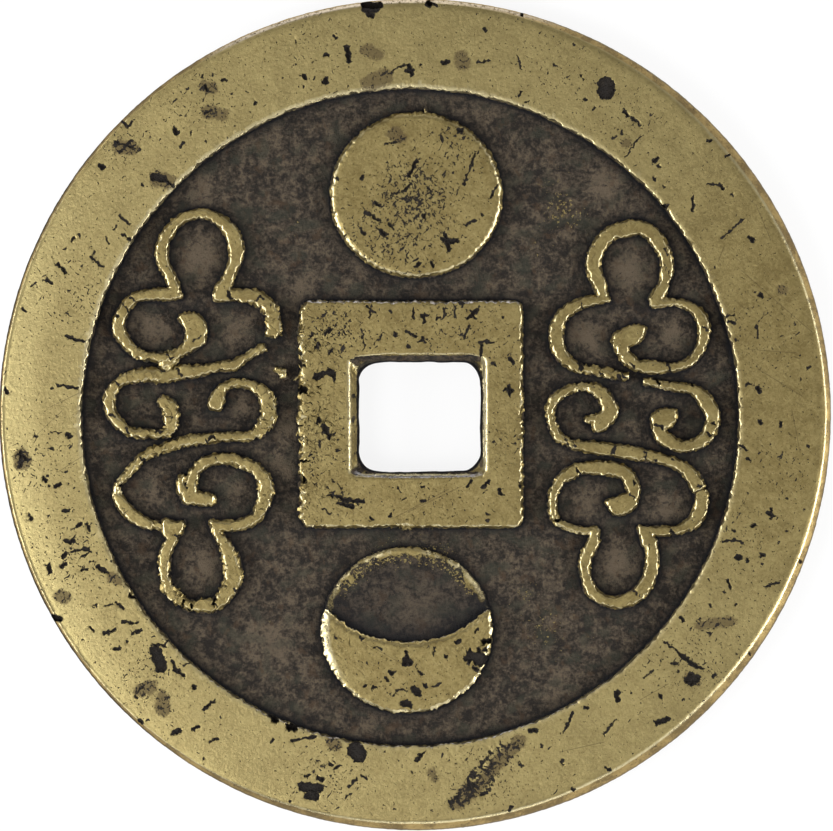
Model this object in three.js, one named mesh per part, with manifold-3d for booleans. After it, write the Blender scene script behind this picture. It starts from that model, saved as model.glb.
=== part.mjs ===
// A large cast bronze cash coin: round rim, square hole with a raised collar, and on its decorated side
// a sun above the hole, a moon with a bright crescent below it and a knotted cloud scroll on each side.
// Millimetres, +Z up. The coin lies on its plain side, centred on the origin, its base on z = 0.
// The photographed side faces up, with its top towards +Y.
import * as THREE from "three";
import { mergeVertices } from "three/addons/utils/BufferGeometryUtils.js";
import Module from "manifold-3d";

const wasm = await Module();
wasm.setup();

// The casting
const coinDiameter = 56;
const coinThickness = 3.4;
const fieldRecess = 0.75;
const edgeWear = 0.45;
const wallDraft = 0.2;

// The rims. The mould's pocket for the decorated side sits slightly off the coin's centre.
const frontRimWidth = 5.9;
const frontFieldShift = { x: -0.33, y: -0.18 };
const backRimWidth = 6.1;
const backFieldShift = { x: 0, y: 0 };

// The square hole, which opens out towards both faces
const holeWidth = 8.1;
const holeHeight = 7.3;
const holeCorner = 1.2;
const holeShift = { x: 0.27, y: -0.1 };
const mouthFlareAcross = 0.65;
const mouthFlareUp = 0.45;
const mouthCorner = 0.5;
const backMouthFlare = 0.2;

// The raised collars round the hole
const collarWallAcross = 3.4;
const collarWallUp = 3.95;
const collarCorner = 0.6;
const collarShift = { x: -0.49, y: 0.12 };
const backCollarWall = 3.2;

// The relief, filed level a little below the rim
const reliefDrop = 0.05;
const reliefLean = 0.12;
const reliefWear = 0.07;

// The sun and the moon fill the room between collar and rim
const sunMargin = 1.6;
const sunOvality = 1.04;
const sunShift = 0.07;
const moonMargin = 1.8;
const moonOvality = 1.035;
const moonShift = { x: -0.55, y: 0.4 };
const crescentBiteRadius = 7.8;
const crescentWidth = 4.65;
const crescentGap = 0.3;
const moonFloor = 0.28;
const dishDrop = 0.12;

// The clouds stand beside the collar
const cloudMargin = 1.43;
const leftCloudShift = { x: 0, y: 0.2 };
const rightCloudShift = { x: 0.2, y: -0.2 };

// Fineness of the facets
const roundSteps = 96;
const cornerSteps = 4;
const wearSteps = 2;
const discSteps = 64;
const scoopSteps = 192;
const strokeStep = 0.5;
const outlineStepsPerPoint = 4;

// Limits that keep worn edges narrower than what they run along, and how far cutters reach past their work
const mostRimWear = 0.8;
const mostStrokeLean = 0.4;
const mostStrokeWear = 0.3;
const cutOvershoot = 1;
const weldDistance = 1e-5;

// The clouds. Each is two long scrolls that start in a curl at the middle, swing round three lobes
// and pass below or above the other scroll into its own curl at mid height.
// A stroke is drawn by [x, y, width] points along its middle, and a curl or a block by its outline,
// both from the middle of the cloud.
const leftCloud = {
  upper_head: {
    strokes: [
      [
        [-0.2, 4.1, 0.6], [-1.5, 3.62, 0.6], [-3.1, 3.7, 0.65], [-3.95, 4.2, 0.7], [-4.8, 5.5, 0.85],
        [-4.75, 6.1, 0.8], [-4.05, 7.3, 0.75], [-3.4, 7.7, 0.65], [-1.7, 7.85, 0.85], [-0.45, 7.75, 0.35],
      ],
      [
        [-0.8, 7.95, 0.6], [-1.1, 8.5, 0.8], [-1.3, 9, 0.7], [-1.8, 10, 0.8], [-1.8, 11.2, 0.8],
        [-0.75, 12.75, 0.7], [0.75, 13.25, 0.6], [2.2, 12.7, 0.75], [3, 11.5, 1], [3.12, 10.3, 0.95],
        [2.67, 9.1, 0.7], [2.1, 8, 1], [1.7, 7.65, 0.5],
      ],
      [[1.6, 7.55, 0.3], [2.2, 7.7, 0.75], [3, 7.8, 0.75], [4.75, 7.5, 1], [5.6, 6.4, 0.9], [5.55, 5, 0.95]],
    ],
    outlines: [
      [
        [-0.8, 6.3], [-0.38, 5.6], [-0.28, 5], [-0.4, 4.55], [-0.75, 4.2], [-0.6, 3.7], [0, 3.95], [0.7, 4.35],
        [1.05, 4.7], [1.15, 5.2], [1, 6.05], [0.55, 6.5], [-0.1, 6.65],
      ],
    ],
  },
  upper_tail: {
    strokes: [
      [
        [5.05, 4.35, 0.5], [3.8, 3.65, 0.45], [2.8, 3.05, 0.75], [2, 3, 0.6], [0.5, 2.65, 0.8],
        [-0.3, 2.6, 0.9], [-2, 2.35, 0.9], [-2.9, 2.4, 0.85], [-4.4, 2.15, 0.7], [-4.9, 1.8, 0.6],
        [-5.42, 0.9, 0.75], [-5.25, -0.15, 0.75], [-4.5, -1.1, 0.65], [-3.9, -1.45, 0.55], [-3.2, -1.5, 0.7],
        [-2.1, -1.5, 0.4], [-1.3, -1.45, 0.4],
      ],
      [[-1.5, -1.5, 0.5], [-1.3, -1.1, 0.8], [-1.25, 0, 1.05], [-1.5, 0.45, 0.95], [-2, 0.8, 0.6]],
    ],
    outlines: [],
  },
  lower_tail: {
    strokes: [
      [
        [1.72, 0.1, 0.75], [1.82, 0.7, 1.1], [2.25, 1.6, 0.6], [2.75, 1.85, 0.5], [4, 1.8, 0.55],
        [5.05, 1.1, 0.9], [5.3, 0, 1], [4.9, -1.05, 0.9], [3.9, -1.65, 0.5], [3.2, -1.7, 0.55],
        [1.7, -1.75, 0.65], [-0.3, -2.05, 0.65], [-1.7, -2.4, 0.6], [-3, -2.95, 0.55], [-3.95, -3.95, 0.5],
        [-4.75, -4.85, 0.35], [-4.93, -5.35, 0.3], [-4.75, -5.95, 0.65], [-3.8, -7, 0.85], [-2.4, -7.75, 0.6],
      ],
    ],
    outlines: [],
  },
  lower_head: {
    strokes: [
      [[1.65, -5.85, 0.45], [1.1, -5.95, 0.95], [0, -5.7, 0.8]],
      [
        [-0.15, -6.2, 0.6], [-0.1, -5.6, 1], [0.1, -5, 0.75], [0.35, -4, 0.7], [1.3, -3.28, 0.75],
        [3.1, -3.3, 0.75], [4.4, -3.9, 0.75], [5.1, -4.95, 0.95], [4.98, -6.1, 0.85], [4.3, -7.2, 0.85],
        [3, -7.7, 0.7], [1.7, -7.6, 0.55], [1.3, -7.4, 0.35],
      ],
      [[-0.45, -4.3, 0.45], [-0.65, -4.85, 0.5], [-0.45, -5.5, 0.6]],
      [
        [1.55, -7.75, 0.35], [1.9, -8.3, 0.6], [2.6, -9.4, 0.95], [2.95, -10.7, 1.15], [2.85, -11.4, 1.15],
        [2, -12.75, 0.9], [1.4, -13, 0.85], [0.8, -13, 0.9], [0.2, -13.1, 0.65], [-0.35, -12.85, 0.65],
        [-1.4, -11.9, 0.75], [-1.57, -11.3, 0.6], [-1.7, -9.9, 0.8], [-1.5, -9.2, 0.8], [-1.2, -8.7, 0.7],
        [-1.2, -8.1, 0.9],
      ],
    ],
    outlines: [
      [
        [-1.85, -7.25], [-1.9, -7.85], [-1.7, -8.45], [-1.1, -8.4], [-0.6, -8.3], [-0.4, -7.8], [-0.3, -7.35],
        [-0.9, -7.35], [-1.6, -7.15],
      ],
    ],
  },
};
const rightCloud = {
  upper_head: {
    strokes: [
      [
        [-0.5, 3.95, 0.6], [0.1, 3.52, 0.7], [1.3, 3.35, 0.85], [2.7, 3.3, 0.55], [3.9, 3.8, 0.6],
        [4.65, 5, 0.65], [4.75, 6, 0.8], [4.3, 7.05, 0.75], [3.1, 7.65, 0.45], [1.15, 7.5, 0.45],
      ],
      [
        [1.15, 7.65, 0.6], [1.7, 8.1, 0.95], [2.12, 9.1, 0.65], [2.22, 9.6, 0.85], [2.2, 10.8, 0.85],
        [1.45, 12.05, 0.95], [0.8, 12.55, 1], [0.1, 12.7, 1], [-0.6, 12.55, 1.1], [-1.4, 12.35, 0.95],
        [-2.35, 11.3, 0.95], [-2.65, 10.1, 1], [-2.3, 9, 0.9], [-1.95, 8, 0.7],
      ],
      [
        [-1.55, 7.9, 0.35], [-2.1, 7.9, 0.55], [-3.5, 7.6, 0.7], [-4.75, 6.8, 0.85], [-5.13, 5.6, 0.95],
        [-4.93, 4.4, 0.9], [-4.1, 3.5, 0.7], [-2.2, 3.02, 0.45], [-1.5, 2.85, 0.6], [-0.4, 2.7, 0.4],
      ],
    ],
    outlines: [
      [
        [0.85, 6], [0, 6.2], [-0.6, 5.95], [-1.25, 5.65], [-1.45, 5.15], [-1.25, 4.6], [-0.95, 4.05],
        [-0.55, 3.5], [-0.15, 3.45], [0.15, 3.95], [-0.3, 4.45], [-0.2, 4.7], [0.2, 4.8], [0.6, 5.15],
      ],
    ],
  },
  upper_tail: {
    strokes: [
      [
        [0.65, 2.35, 0.45], [1.1, 2.35, 0.55], [1.5, 2.25, 0.35], [2.7, 2, 0.55], [4, 1.85, 0.65],
        [4.9, 1, 1], [5.35, -0.05, 0.95], [5.05, -1.1, 0.9], [4.6, -1.6, 0.8], [3.3, -1.95, 0.75],
        [2.05, -1.4, 0.95], [1.67, -0.95, 0.9], [1.55, -0.4, 0.75],
      ],
    ],
    outlines: [
      [
        [2.97, 0.4], [2.7, 0.55], [2.05, 0.62], [1.4, 0.35], [1.15, -0.05], [1.2, -0.5], [1.75, -0.6],
        [2.2, -0.75], [2.8, -0.4],
      ],
    ],
  },
  lower_tail: {
    strokes: [
      [[-3.2, -0.15, 0.45], [-2.75, -0.1, 0.4], [-2.4, -0.1, 0.4]],
      [
        [-1.85, 1.6, 0.75], [-3.2, 2.08, 0.35], [-4.4, 1.8, 0.55], [-5.4, 1, 0.65], [-5.52, -0.1, 0.5],
        [-5.1, -1.1, 0.65], [-4.15, -1.8, 0.5], [-2.9, -2, 0.8], [-1.5, -2.15, 0.8], [-0.1, -2.4, 0.9],
        [1.3, -2.65, 0.7], [2.7, -3.05, 0.7], [3.8, -3.75, 0.85], [4.45, -4.85, 1],
      ],
    ],
    outlines: [
      [
        [-2.62, -0.92], [-2, -0.88], [-1.5, -0.5], [-1.1, 0.05], [-1, 0.55], [-1.2, 1.15], [-1.6, 1.7],
        [-2.1, 2.1], [-2.8, 2.22], [-2.95, 1.75], [-2.6, 1.45], [-2.2, 1], [-2.1, 0.4], [-2.6, 0.1],
      ],
    ],
  },
  lower_head: {
    strokes: [
      [
        [-2.35, -7.5, 0.35], [-2.95, -7.6, 0.35], [-4.3, -7.35, 0.4], [-5.05, -7.05, 0.4], [-5.33, -6.4, 0.6],
        [-5.4, -5.85, 0.45], [-5.4, -5.3, 0.6], [-4.95, -4.3, 0.6], [-4.45, -3.9, 0.85], [-3.4, -3.4, 0.75],
        [-1.4, -3.45, 0.95], [-0.5, -3.75, 0.85], [-0.05, -4.5, 1], [0.05, -5.35, 0.65], [-0.15, -5.7, 0.8],
      ],
      [
        [-2.35, -7.45, 0.4], [-2.62, -7.9, 0.7], [-2.65, -8.4, 0.8], [-3.15, -9.3, 0.8], [-3.22, -10.5, 0.7],
        [-2.75, -11.65, 0.75], [-1.7, -12.3, 0.7], [-1, -12.35, 0.85], [0.3, -11.85, 0.95],
        [1.05, -10.8, 0.85], [1.28, -9.5, 0.9], [1.22, -8.8, 0.85], [1.05, -8.3, 1.05], [0.35, -7.3, 0.35],
      ],
      [
        [0.5, -7.5, 0.4], [1.7, -7.6, 0.65], [3, -7.53, 0.55], [4.1, -6.95, 0.9], [4.4, -6.45, 0.95],
        [4.6, -5.35, 0.9],
      ],
    ],
    outlines: [
      [
        [-1.92, -5.6], [-1.7, -6], [-1.45, -6.4], [-1, -6.6], [-0.5, -6.5], [0, -6.2], [0.3, -5.8],
        [0.05, -5.45], [-0.2, -5.1], [-0.7, -5.15], [-1.4, -5.4],
      ],
    ],
  },
};

// Sizes and places that follow from the driving dimensions
const coinRadius = coinDiameter / 2;
const plateThickness = coinThickness - 2 * fieldRecess;
const frontFieldHeight = fieldRecess + plateThickness;
const frontFieldRadius = coinRadius - frontRimWidth;
const backFieldRadius = coinRadius - backRimWidth;
const reliefHeight = fieldRecess - reliefDrop;
const rimWear = Math.min(edgeWear, mostRimWear * fieldRecess);
const collar = {
  x: holeShift.x + collarShift.x,
  y: holeShift.y + collarShift.y,
  width: holeWidth + 2 * collarWallAcross,
  height: holeHeight + 2 * collarWallUp,
};

// A closed triangle mesh as a solid for joining and cutting
function solidOf(geometry) {
  const bare = geometry.clone();
  bare.deleteAttribute("normal");
  bare.deleteAttribute("uv");
  const merged = mergeVertices(bare, weldDistance);
  return new wasm.Manifold(
    new wasm.Mesh({
      numProp: 3,
      vertProperties: new Float32Array(merged.attributes.position.array),
      triVerts: new Uint32Array(merged.index.array),
    }),
  );
}

function geometryOf(solid) {
  const mesh = solid.getMesh();
  const geometry = new THREE.BufferGeometry();
  geometry.setAttribute("position", new THREE.BufferAttribute(new Float32Array(mesh.vertProperties), mesh.numProp));
  geometry.setIndex(new THREE.BufferAttribute(new Uint32Array(mesh.triVerts), 1));
  return geometry;
}

function fused(geometries) {
  const solids = geometries.map(solidOf);
  return geometryOf(solids.reduce((whole, solid) => whole.add(solid)));
}

// A solid through loops of points, all with the same number of points. Seen from the side that the loops
// climb to, each loop runs anticlockwise. capFaces are the triangles that close the first and last loop.
// Without them the last loop runs back to the first, which makes a ring.
function loft(loops, capFaces) {
  const count = loops[0].length;
  const index = [];
  const bands = capFaces ? loops.length - 1 : loops.length;
  for (let band = 0; band < bands; band++) {
    const low = band * count;
    const high = ((band + 1) % loops.length) * count;
    for (let i = 0; i < count; i++) {
      const j = (i + 1) % count;
      index.push(low + i, low + j, high + j, low + i, high + j, high + i);
    }
  }
  if (capFaces) {
    const top = (loops.length - 1) * count;
    for (const [a, b, c] of capFaces) {
      index.push(a, c, b, top + a, top + b, top + c);
    }
  }
  const geometry = new THREE.BufferGeometry().setFromPoints(loops.flat());
  geometry.setIndex(index);
  return geometry;
}

function ovalPoints(width, height, steps) {
  const points = [];
  for (let i = 0; i < steps; i++) {
    const angle = (2 * Math.PI * i) / steps;
    points.push(new THREE.Vector2((width / 2) * Math.cos(angle), (height / 2) * Math.sin(angle)));
  }
  return points;
}

function roundedRectPoints(centre, width, height, radius) {
  const points = [];
  for (let corner = 0; corner < 4; corner++) {
    const sideX = corner === 0 || corner === 3 ? 1 : -1;
    const sideY = corner < 2 ? 1 : -1;
    for (let step = 0; step <= cornerSteps; step++) {
      const angle = (Math.PI / 2) * (corner + step / cornerSteps);
      const x = centre.x + sideX * (width / 2 - radius) + radius * Math.cos(angle);
      const y = centre.y + sideY * (height / 2 - radius) + radius * Math.sin(angle);
      points.push(new THREE.Vector2(x, y));
    }
  }
  return points;
}

function raised(points, z) {
  return points.map((point) => new THREE.Vector3(point.x, point.y, z));
}

// Moves each point of a closed anticlockwise outline inwards
function inset(points, distance) {
  return points.map((point, i) => {
    const before = points[(i + points.length - 1) % points.length];
    const after = points[(i + 1) % points.length];
    const along = after.clone().sub(before).normalize();
    return new THREE.Vector2(point.x - along.y * distance, point.y + along.x * distance);
  });
}

// The flat core of the coin with the square hole through it
function plateGeometry() {
  const shape = new THREE.Shape(ovalPoints(coinDiameter, coinDiameter, roundSteps));
  const hole = roundedRectPoints(holeShift, holeWidth, holeHeight, holeCorner);
  shape.holes.push(new THREE.Path(hole));
  return new THREE.ExtrudeGeometry(shape, { depth: plateThickness, bevelEnabled: false });
}

// One face's rim: a disc turned with a worn outer edge, with the drafted pocket of the field cut out of it
function rimGeometry(fieldRadius, fieldShift) {
  const profile = [new THREE.Vector2(0, 0), new THREE.Vector2(coinRadius, 0)];
  for (let step = 0; step <= wearSteps; step++) {
    const angle = (Math.PI / 2) * (step / wearSteps);
    const radius = coinRadius - rimWear * (1 - Math.cos(angle));
    profile.push(new THREE.Vector2(radius, fieldRecess - rimWear * (1 - Math.sin(angle))));
  }
  profile.push(new THREE.Vector2(0, fieldRecess));
  const blank = new THREE.LatheGeometry(profile, roundSteps, Math.PI / 2);
  blank.rotateX(Math.PI / 2);
  const wallSlope = wallDraft / fieldRecess;
  const mouthRadius = fieldRadius + wallDraft + wallSlope * cutOvershoot;
  const rootRadius = fieldRadius - wallSlope * cutOvershoot;
  const pocketHeight = fieldRecess + 2 * cutOvershoot;
  const pocket = new THREE.CylinderGeometry(mouthRadius, rootRadius, pocketHeight, roundSteps);
  pocket.rotateX(Math.PI / 2);
  pocket.translate(fieldShift.x, fieldShift.y, fieldRecess / 2);
  return geometryOf(solidOf(blank).subtract(solidOf(pocket)));
}

// One face's collar: a rounded square frame with leaning outer walls and a mouth that opens out
function collarGeometry(centre, width, height, hole, flareAcross, flareUp) {
  const outer = roundedRectPoints(centre, width, height, collarCorner);
  const shoulder = inset(outer, reliefLean);
  const top = inset(outer, reliefLean + reliefWear);
  const mouth = roundedRectPoints(hole, holeWidth + 2 * flareAcross, holeHeight + 2 * flareUp, mouthCorner);
  const throat = roundedRectPoints(hole, holeWidth, holeHeight, holeCorner);
  return loft([
    raised(outer, 0),
    raised(shoulder, fieldRecess - reliefWear),
    raised(top, fieldRecess),
    raised(mouth, fieldRecess),
    raised(throat, 0),
  ]);
}

// A raised flat-topped piece with leaning walls and a worn upper edge, on any closed outline
function reliefGeometry(outline, height) {
  const capFaces = THREE.ShapeUtils.triangulateShape(outline, []);
  return loft(
    [
      raised(outline, 0),
      raised(inset(outline, reliefLean), height - reliefWear),
      raised(inset(outline, reliefLean + reliefWear), height),
    ],
    capFaces,
  );
}

// A closed outline through a few points, run as a smooth curve and turned anticlockwise
function smoothOutline(points, scale) {
  const corners = points.map(([x, y]) => new THREE.Vector3(x * scale, y * scale, 0));
  const curve = new THREE.CatmullRomCurve3(corners, true);
  const outline = curve.getPoints(points.length * outlineStepsPerPoint).slice(0, -1);
  const flat = outline.map((point) => new THREE.Vector2(point.x, point.y));
  return THREE.ShapeUtils.isClockWise(flat) ? flat.reverse() : flat;
}

// A ridge along a curve, which carries its width as a third coordinate. Its walls and ends lean inwards.
function strokeGeometry(points, scale, height) {
  const curve = new THREE.CatmullRomCurve3(points.map(([x, y, width]) => new THREE.Vector3(x, y, width)));
  const stations = Math.ceil((curve.getLength() * scale) / strokeStep);
  const loops = [];
  for (let station = 0; station <= stations; station++) {
    const share = station / stations;
    const point = curve.getPointAt(share).multiplyScalar(scale);
    const tangent = curve.getTangentAt(share).setZ(0).normalize();
    const half = point.z / 2;
    const lean = Math.min(reliefLean, mostStrokeLean * half);
    const wear = Math.min(reliefWear, mostStrokeWear * half);
    const endLean = station === 0 ? lean : station === stations ? -lean : 0;
    const section = [
      [-half, 0],
      [half, 0],
      [half - lean, height - wear],
      [half - lean - wear, height],
      [lean + wear - half, height],
      [lean - half, height - wear],
    ];
    loops.push(
      section.map(([across, up]) => {
        const along = up > 0 ? endLean : 0;
        const x = point.x - tangent.y * across + tangent.x * along;
        const y = point.y + tangent.x * across + tangent.y * along;
        return new THREE.Vector3(x, y, up);
      }),
    );
  }
  return loft(loops, [[0, 1, 2], [0, 2, 3], [0, 3, 4], [0, 4, 5]]);
}

// The whole drawing's reach across, from its strokes and outlines
function drawnSpan(cloud) {
  const reach = [];
  for (const scroll of Object.values(cloud)) {
    for (const [x, , width] of scroll.strokes.flat()) {
      reach.push(x - width / 2, x + width / 2);
    }
    for (const [x] of scroll.outlines.flat()) {
      reach.push(x);
    }
  }
  const low = Math.min(...reach);
  const high = Math.max(...reach);
  return { width: high - low, middle: (high + low) / 2 };
}

function scrollGeometry(scroll, scale) {
  const strokes = scroll.strokes.map((points) => strokeGeometry(points, scale, reliefHeight));
  const islands = scroll.outlines.map((points) => reliefGeometry(smoothOutline(points, scale), reliefHeight));
  return fused([...strokes, ...islands]);
}

// The moon is an oval disc. The bite of a larger circle leaves a crescent standing,
// and beside it a dish rises from a low floor at the crescent to the disc's far edge.
function moonGeometries(width, height) {
  const disc = solidOf(reliefGeometry(ovalPoints(width, height, discSteps), reliefHeight));
  const biteBottom = crescentWidth - height / 2;
  const tall = 2 * (reliefHeight + cutOvershoot);
  const bite = (radius) => {
    const cutter = new THREE.CylinderGeometry(radius, radius, tall, roundSteps);
    cutter.rotateX(Math.PI / 2);
    cutter.translate(0, biteBottom + crescentBiteRadius, 0);
    return solidOf(cutter);
  };
  const base = new THREE.BoxGeometry(width + cutOvershoot, height + cutOvershoot, tall);
  base.translate(0, 0, moonFloor - tall / 2);
  const run = height / 2 - biteBottom;
  const rise = reliefHeight - dishDrop - moonFloor;
  const scoopRadius = (run * run + rise * rise) / (2 * rise);
  const scoop = new THREE.CylinderGeometry(scoopRadius, scoopRadius, width + cutOvershoot, scoopSteps);
  scoop.rotateZ(Math.PI / 2);
  scoop.translate(0, biteBottom, moonFloor + scoopRadius);
  const crescent = disc.subtract(bite(crescentBiteRadius)).subtract(solidOf(base));
  const basin = disc.intersect(bite(crescentBiteRadius - crescentGap)).subtract(solidOf(scoop));
  return { crescent: geometryOf(crescent), dish: geometryOf(basin.add(disc.intersect(solidOf(base)))) };
}

// Finishes: brass rubbed bright on everything that stands up, dark patina in what lies low
function wornBrass(color) {
  return new THREE.MeshStandardMaterial({ color, roughness: 0.42, metalness: 0.9, flatShading: true });
}

function darkPatina(color) {
  return new THREE.MeshStandardMaterial({ color, roughness: 0.8, metalness: 0.35, flatShading: true });
}

function piece(name, geometry, material) {
  const mesh = new THREE.Mesh(geometry, material);
  mesh.name = name;
  return mesh;
}

// The plain side is made face up and turned over, so its places across the coin are mirrored first
function backGroup() {
  const group = new THREE.Group();
  const fieldShift = { x: backFieldShift.x, y: -backFieldShift.y };
  const hole = { x: holeShift.x, y: -holeShift.y };
  const rim = rimGeometry(backFieldRadius, fieldShift).rotateX(Math.PI);
  const width = holeWidth + 2 * backCollarWall;
  const height = holeHeight + 2 * backCollarWall;
  const frame = collarGeometry(hole, width, height, hole, backMouthFlare, backMouthFlare).rotateX(Math.PI);
  group.add(piece("back_rim", rim, wornBrass(0x8d7d52)));
  group.add(piece("back_hole_collar", frame, wornBrass(0x8a7b50)));
  group.position.z = fieldRecess;
  return group;
}

function discGroup() {
  const group = new THREE.Group();
  const fieldTop = frontFieldShift.y + frontFieldRadius;
  const collarTop = collar.y + collar.height / 2;
  const sunHeight = fieldTop - collarTop - 2 * sunMargin;
  const sunOutline = ovalPoints(sunHeight * sunOvality, sunHeight, discSteps);
  const sun = piece("sun_disc", reliefGeometry(sunOutline, reliefHeight), wornBrass(0x948253));
  sun.position.set(sunShift, (fieldTop + collarTop) / 2, 0);
  const fieldBottom = frontFieldShift.y - frontFieldRadius;
  const collarBottom = collar.y - collar.height / 2;
  const moonHeight = collarBottom - fieldBottom - 2 * moonMargin;
  const { crescent, dish } = moonGeometries(moonHeight * moonOvality, moonHeight);
  const moon = new THREE.Group();
  moon.add(piece("moon_crescent", crescent, wornBrass(0x9c8e5f)));
  moon.add(piece("moon_dish", dish, darkPatina(0x4a4031)));
  moon.position.set(moonShift.x, (fieldBottom + collarBottom) / 2 + moonShift.y, 0);
  group.add(sun, moon);
  return group;
}

// side is -1 for the cloud left of the hole and 1 for the one right of it
function cloudGroup(name, cloud, side, shift) {
  const group = new THREE.Group();
  const collarEdge = collar.x + (side * collar.width) / 2;
  const fieldEdge = frontFieldShift.x + side * frontFieldRadius;
  const span = drawnSpan(cloud);
  const scale = (Math.abs(fieldEdge - collarEdge) - 2 * cloudMargin) / span.width;
  for (const [part, scroll] of Object.entries(cloud)) {
    group.add(piece(`${name}_${part}`, scrollGeometry(scroll, scale), wornBrass(0x968558)));
  }
  const middle = (collarEdge + fieldEdge) / 2;
  group.position.set(middle - span.middle * scale + shift.x, collar.y + shift.y, 0);
  return group;
}

function frontGroup() {
  const group = new THREE.Group();
  const frame = collarGeometry(
    collar, collar.width, collar.height, holeShift, mouthFlareAcross, mouthFlareUp,
  );
  group.add(piece("front_rim", rimGeometry(frontFieldRadius, frontFieldShift), wornBrass(0x99895a)));
  group.add(piece("front_hole_collar", frame, wornBrass(0x97895b)));
  group.add(discGroup());
  group.add(cloudGroup("left_cloud", leftCloud, -1, leftCloudShift));
  group.add(cloudGroup("right_cloud", rightCloud, 1, rightCloudShift));
  group.position.z = frontFieldHeight;
  return group;
}

function cashCoin() {
  const coin = new THREE.Group();
  const plate = piece("field_plate", plateGeometry(), darkPatina(0x443b31));
  plate.position.z = fieldRecess;
  coin.add(plate, backGroup(), frontGroup());
  return coin;
}

export default cashCoin();
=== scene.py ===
"""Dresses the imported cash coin: worn brass relief over a dark field, with the wear of a handled casting."""
import math

import bpy
import numpy as np
from mathutils import Matrix, Vector
from mathutils.kdtree import KDTree


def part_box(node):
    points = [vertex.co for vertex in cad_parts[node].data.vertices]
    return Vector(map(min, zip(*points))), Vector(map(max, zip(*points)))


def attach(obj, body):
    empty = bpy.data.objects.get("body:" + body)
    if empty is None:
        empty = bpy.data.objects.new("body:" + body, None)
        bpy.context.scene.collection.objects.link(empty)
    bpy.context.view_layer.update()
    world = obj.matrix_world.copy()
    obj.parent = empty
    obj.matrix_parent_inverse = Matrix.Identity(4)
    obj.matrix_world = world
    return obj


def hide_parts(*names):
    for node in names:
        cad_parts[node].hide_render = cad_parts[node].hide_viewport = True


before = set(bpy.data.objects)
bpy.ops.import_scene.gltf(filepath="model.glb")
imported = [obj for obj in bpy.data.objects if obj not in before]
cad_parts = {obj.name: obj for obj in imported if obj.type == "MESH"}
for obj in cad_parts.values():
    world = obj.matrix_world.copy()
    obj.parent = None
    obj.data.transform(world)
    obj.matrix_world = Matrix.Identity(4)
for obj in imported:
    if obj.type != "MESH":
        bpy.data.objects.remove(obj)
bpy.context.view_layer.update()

bl_info = {
    "name": "Cash Coin Finish",
    "version": (1, 0, 0),
    "blender": (4, 5, 0),
    "location": "3D View > Sidebar > Coin",
    "description": "Builds the worn surfaces of a cast bronze cash coin over its packed solids",
    "category": "Object",
}

MM = 1000.0

# The photograph's own measure: where the coin's centre falls, and how much of the coin one pixel covers
PHOTO_SIZE = (833, 831)
PHOTO_CENTRE = (415.2, 414.6)
PHOTO_COIN_WIDTH = 832.6
COIN_WIDTH = 56
PHOTO_MM = COIN_WIDTH / PHOTO_COIN_WIDTH

# Levels of the coin in millimetres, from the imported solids
BACK_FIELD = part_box("field_plate")[0].z * MM
FRONT_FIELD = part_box("field_plate")[1].z * MM
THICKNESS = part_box("front_rim")[1].z * MM
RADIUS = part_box("front_rim")[1].x * MM
RELIEF = THICKNESS - FRONT_FIELD
CLOUDS = [name for name in sorted(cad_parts) if "_cloud_" in name]

# Directions from the coin's centre: where the rim falls away and gets its painted sheen, where the painted
# highlight on its inner edge is brightest, and where its outer edge keeps a crust
SHEEN_TURN = math.radians(186)
INNER_TURN = math.radians(128)
CRUST_TURN = math.radians(95)

# Width in millimetres of the worn band along the decorated side's outer edge, by direction in degrees
EDGE_BAND = {
    0: 0.4, 40: 0.64, 75: 0.4, 100: 0.3, 130: 0.28, 180: 0.22, 225: 0.3, 270: 0.6, 315: 0.64, 360: 0.4,
}

# Middle of the moon, in the photograph's pixels
MOON_CENTRE = (407.5, 630)

# Allowances in millimetres: how far relief reaches down into the plate, how far the walls of a copied solid
# are moved out at its foot and top, how close two points are that get welded, how far the plate reaches
# under the rims and collars, and how far it stays inside the rims' outer edge
SUNK = 0.15
SWELL_FOOT = 0.04
SWELL_TOP = 0.14
WELD = 0.0005
SPUN_WELD = 0.001
UNDER_WALL = 0.3
EDGE_INSET = 0.012

# Radii in millimetres: the hole's corners, the plate's corners under the collars, and the rims' inner edge
HOLE_CORNER = 1.2
FOOT_CORNER = 0.3
LIP_ROUND = 0.1

# Shape of the rims in millimetres: how wide their outer part is, how far the decorated side's rim falls
# where it shines, and how far the inner walls lean
OUTER_PART = 2
RIM_FALL = 0.16
RIM_LEAN = 0.07

# Rows of faces on the coin's edge, the hole's walls and a rim's inner wall, segments of a rounded corner,
# and the angle up to which shading runs on smoothly
EDGE_ROWS = 7
HOLE_ROWS = 5
WALL_ROWS = 3
CORNER_SEGMENTS = 4
SMOOTH_ANGLE = math.radians(50)

# Heights above the decorated side's field in millimetres: from which faces count as upper ones, from which
# there are pits, the lowest to which they reach down, and from which there are painted marks. Then how far
# below the top pits have their whole depth, and how far the worn tops rise and sink
UPPER_FACES = 0.3
PITS_FROM = 0.2
DEEPEST = 0.1
MARKS_FROM = 0.05
PITS_WHOLE = 0.15
UNEVEN_TOPS = 0.012

# The mouth of the hole in millimetres: how far beyond the hole's sides it ends and is whole, how far its
# upper edge is moved in at the right and out at the top, and how much wider the hole is worn at its right
# side and its foot
MOUTH_END = 1.0
MOUTH_WHOLE = 0.7
LIP_IN = 0.2
LIP_OUT = 0.16
WIDER_RIGHT = 0.06
WIDER_FOOT = 0.1

# Ragged edges: by what share they are calmer at the coin's edge and in the mouth, and by what share they
# are stronger in the listed places
CALMER_EDGE = 0.8
CALMER_MOUTH = 0.75
STRONGER = 1.6

# Height and width in millimetres of the small slope from the field up to a wall
SLOPE_HEIGHT = 0.05
SLOPE_WIDTH = 0.12

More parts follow.
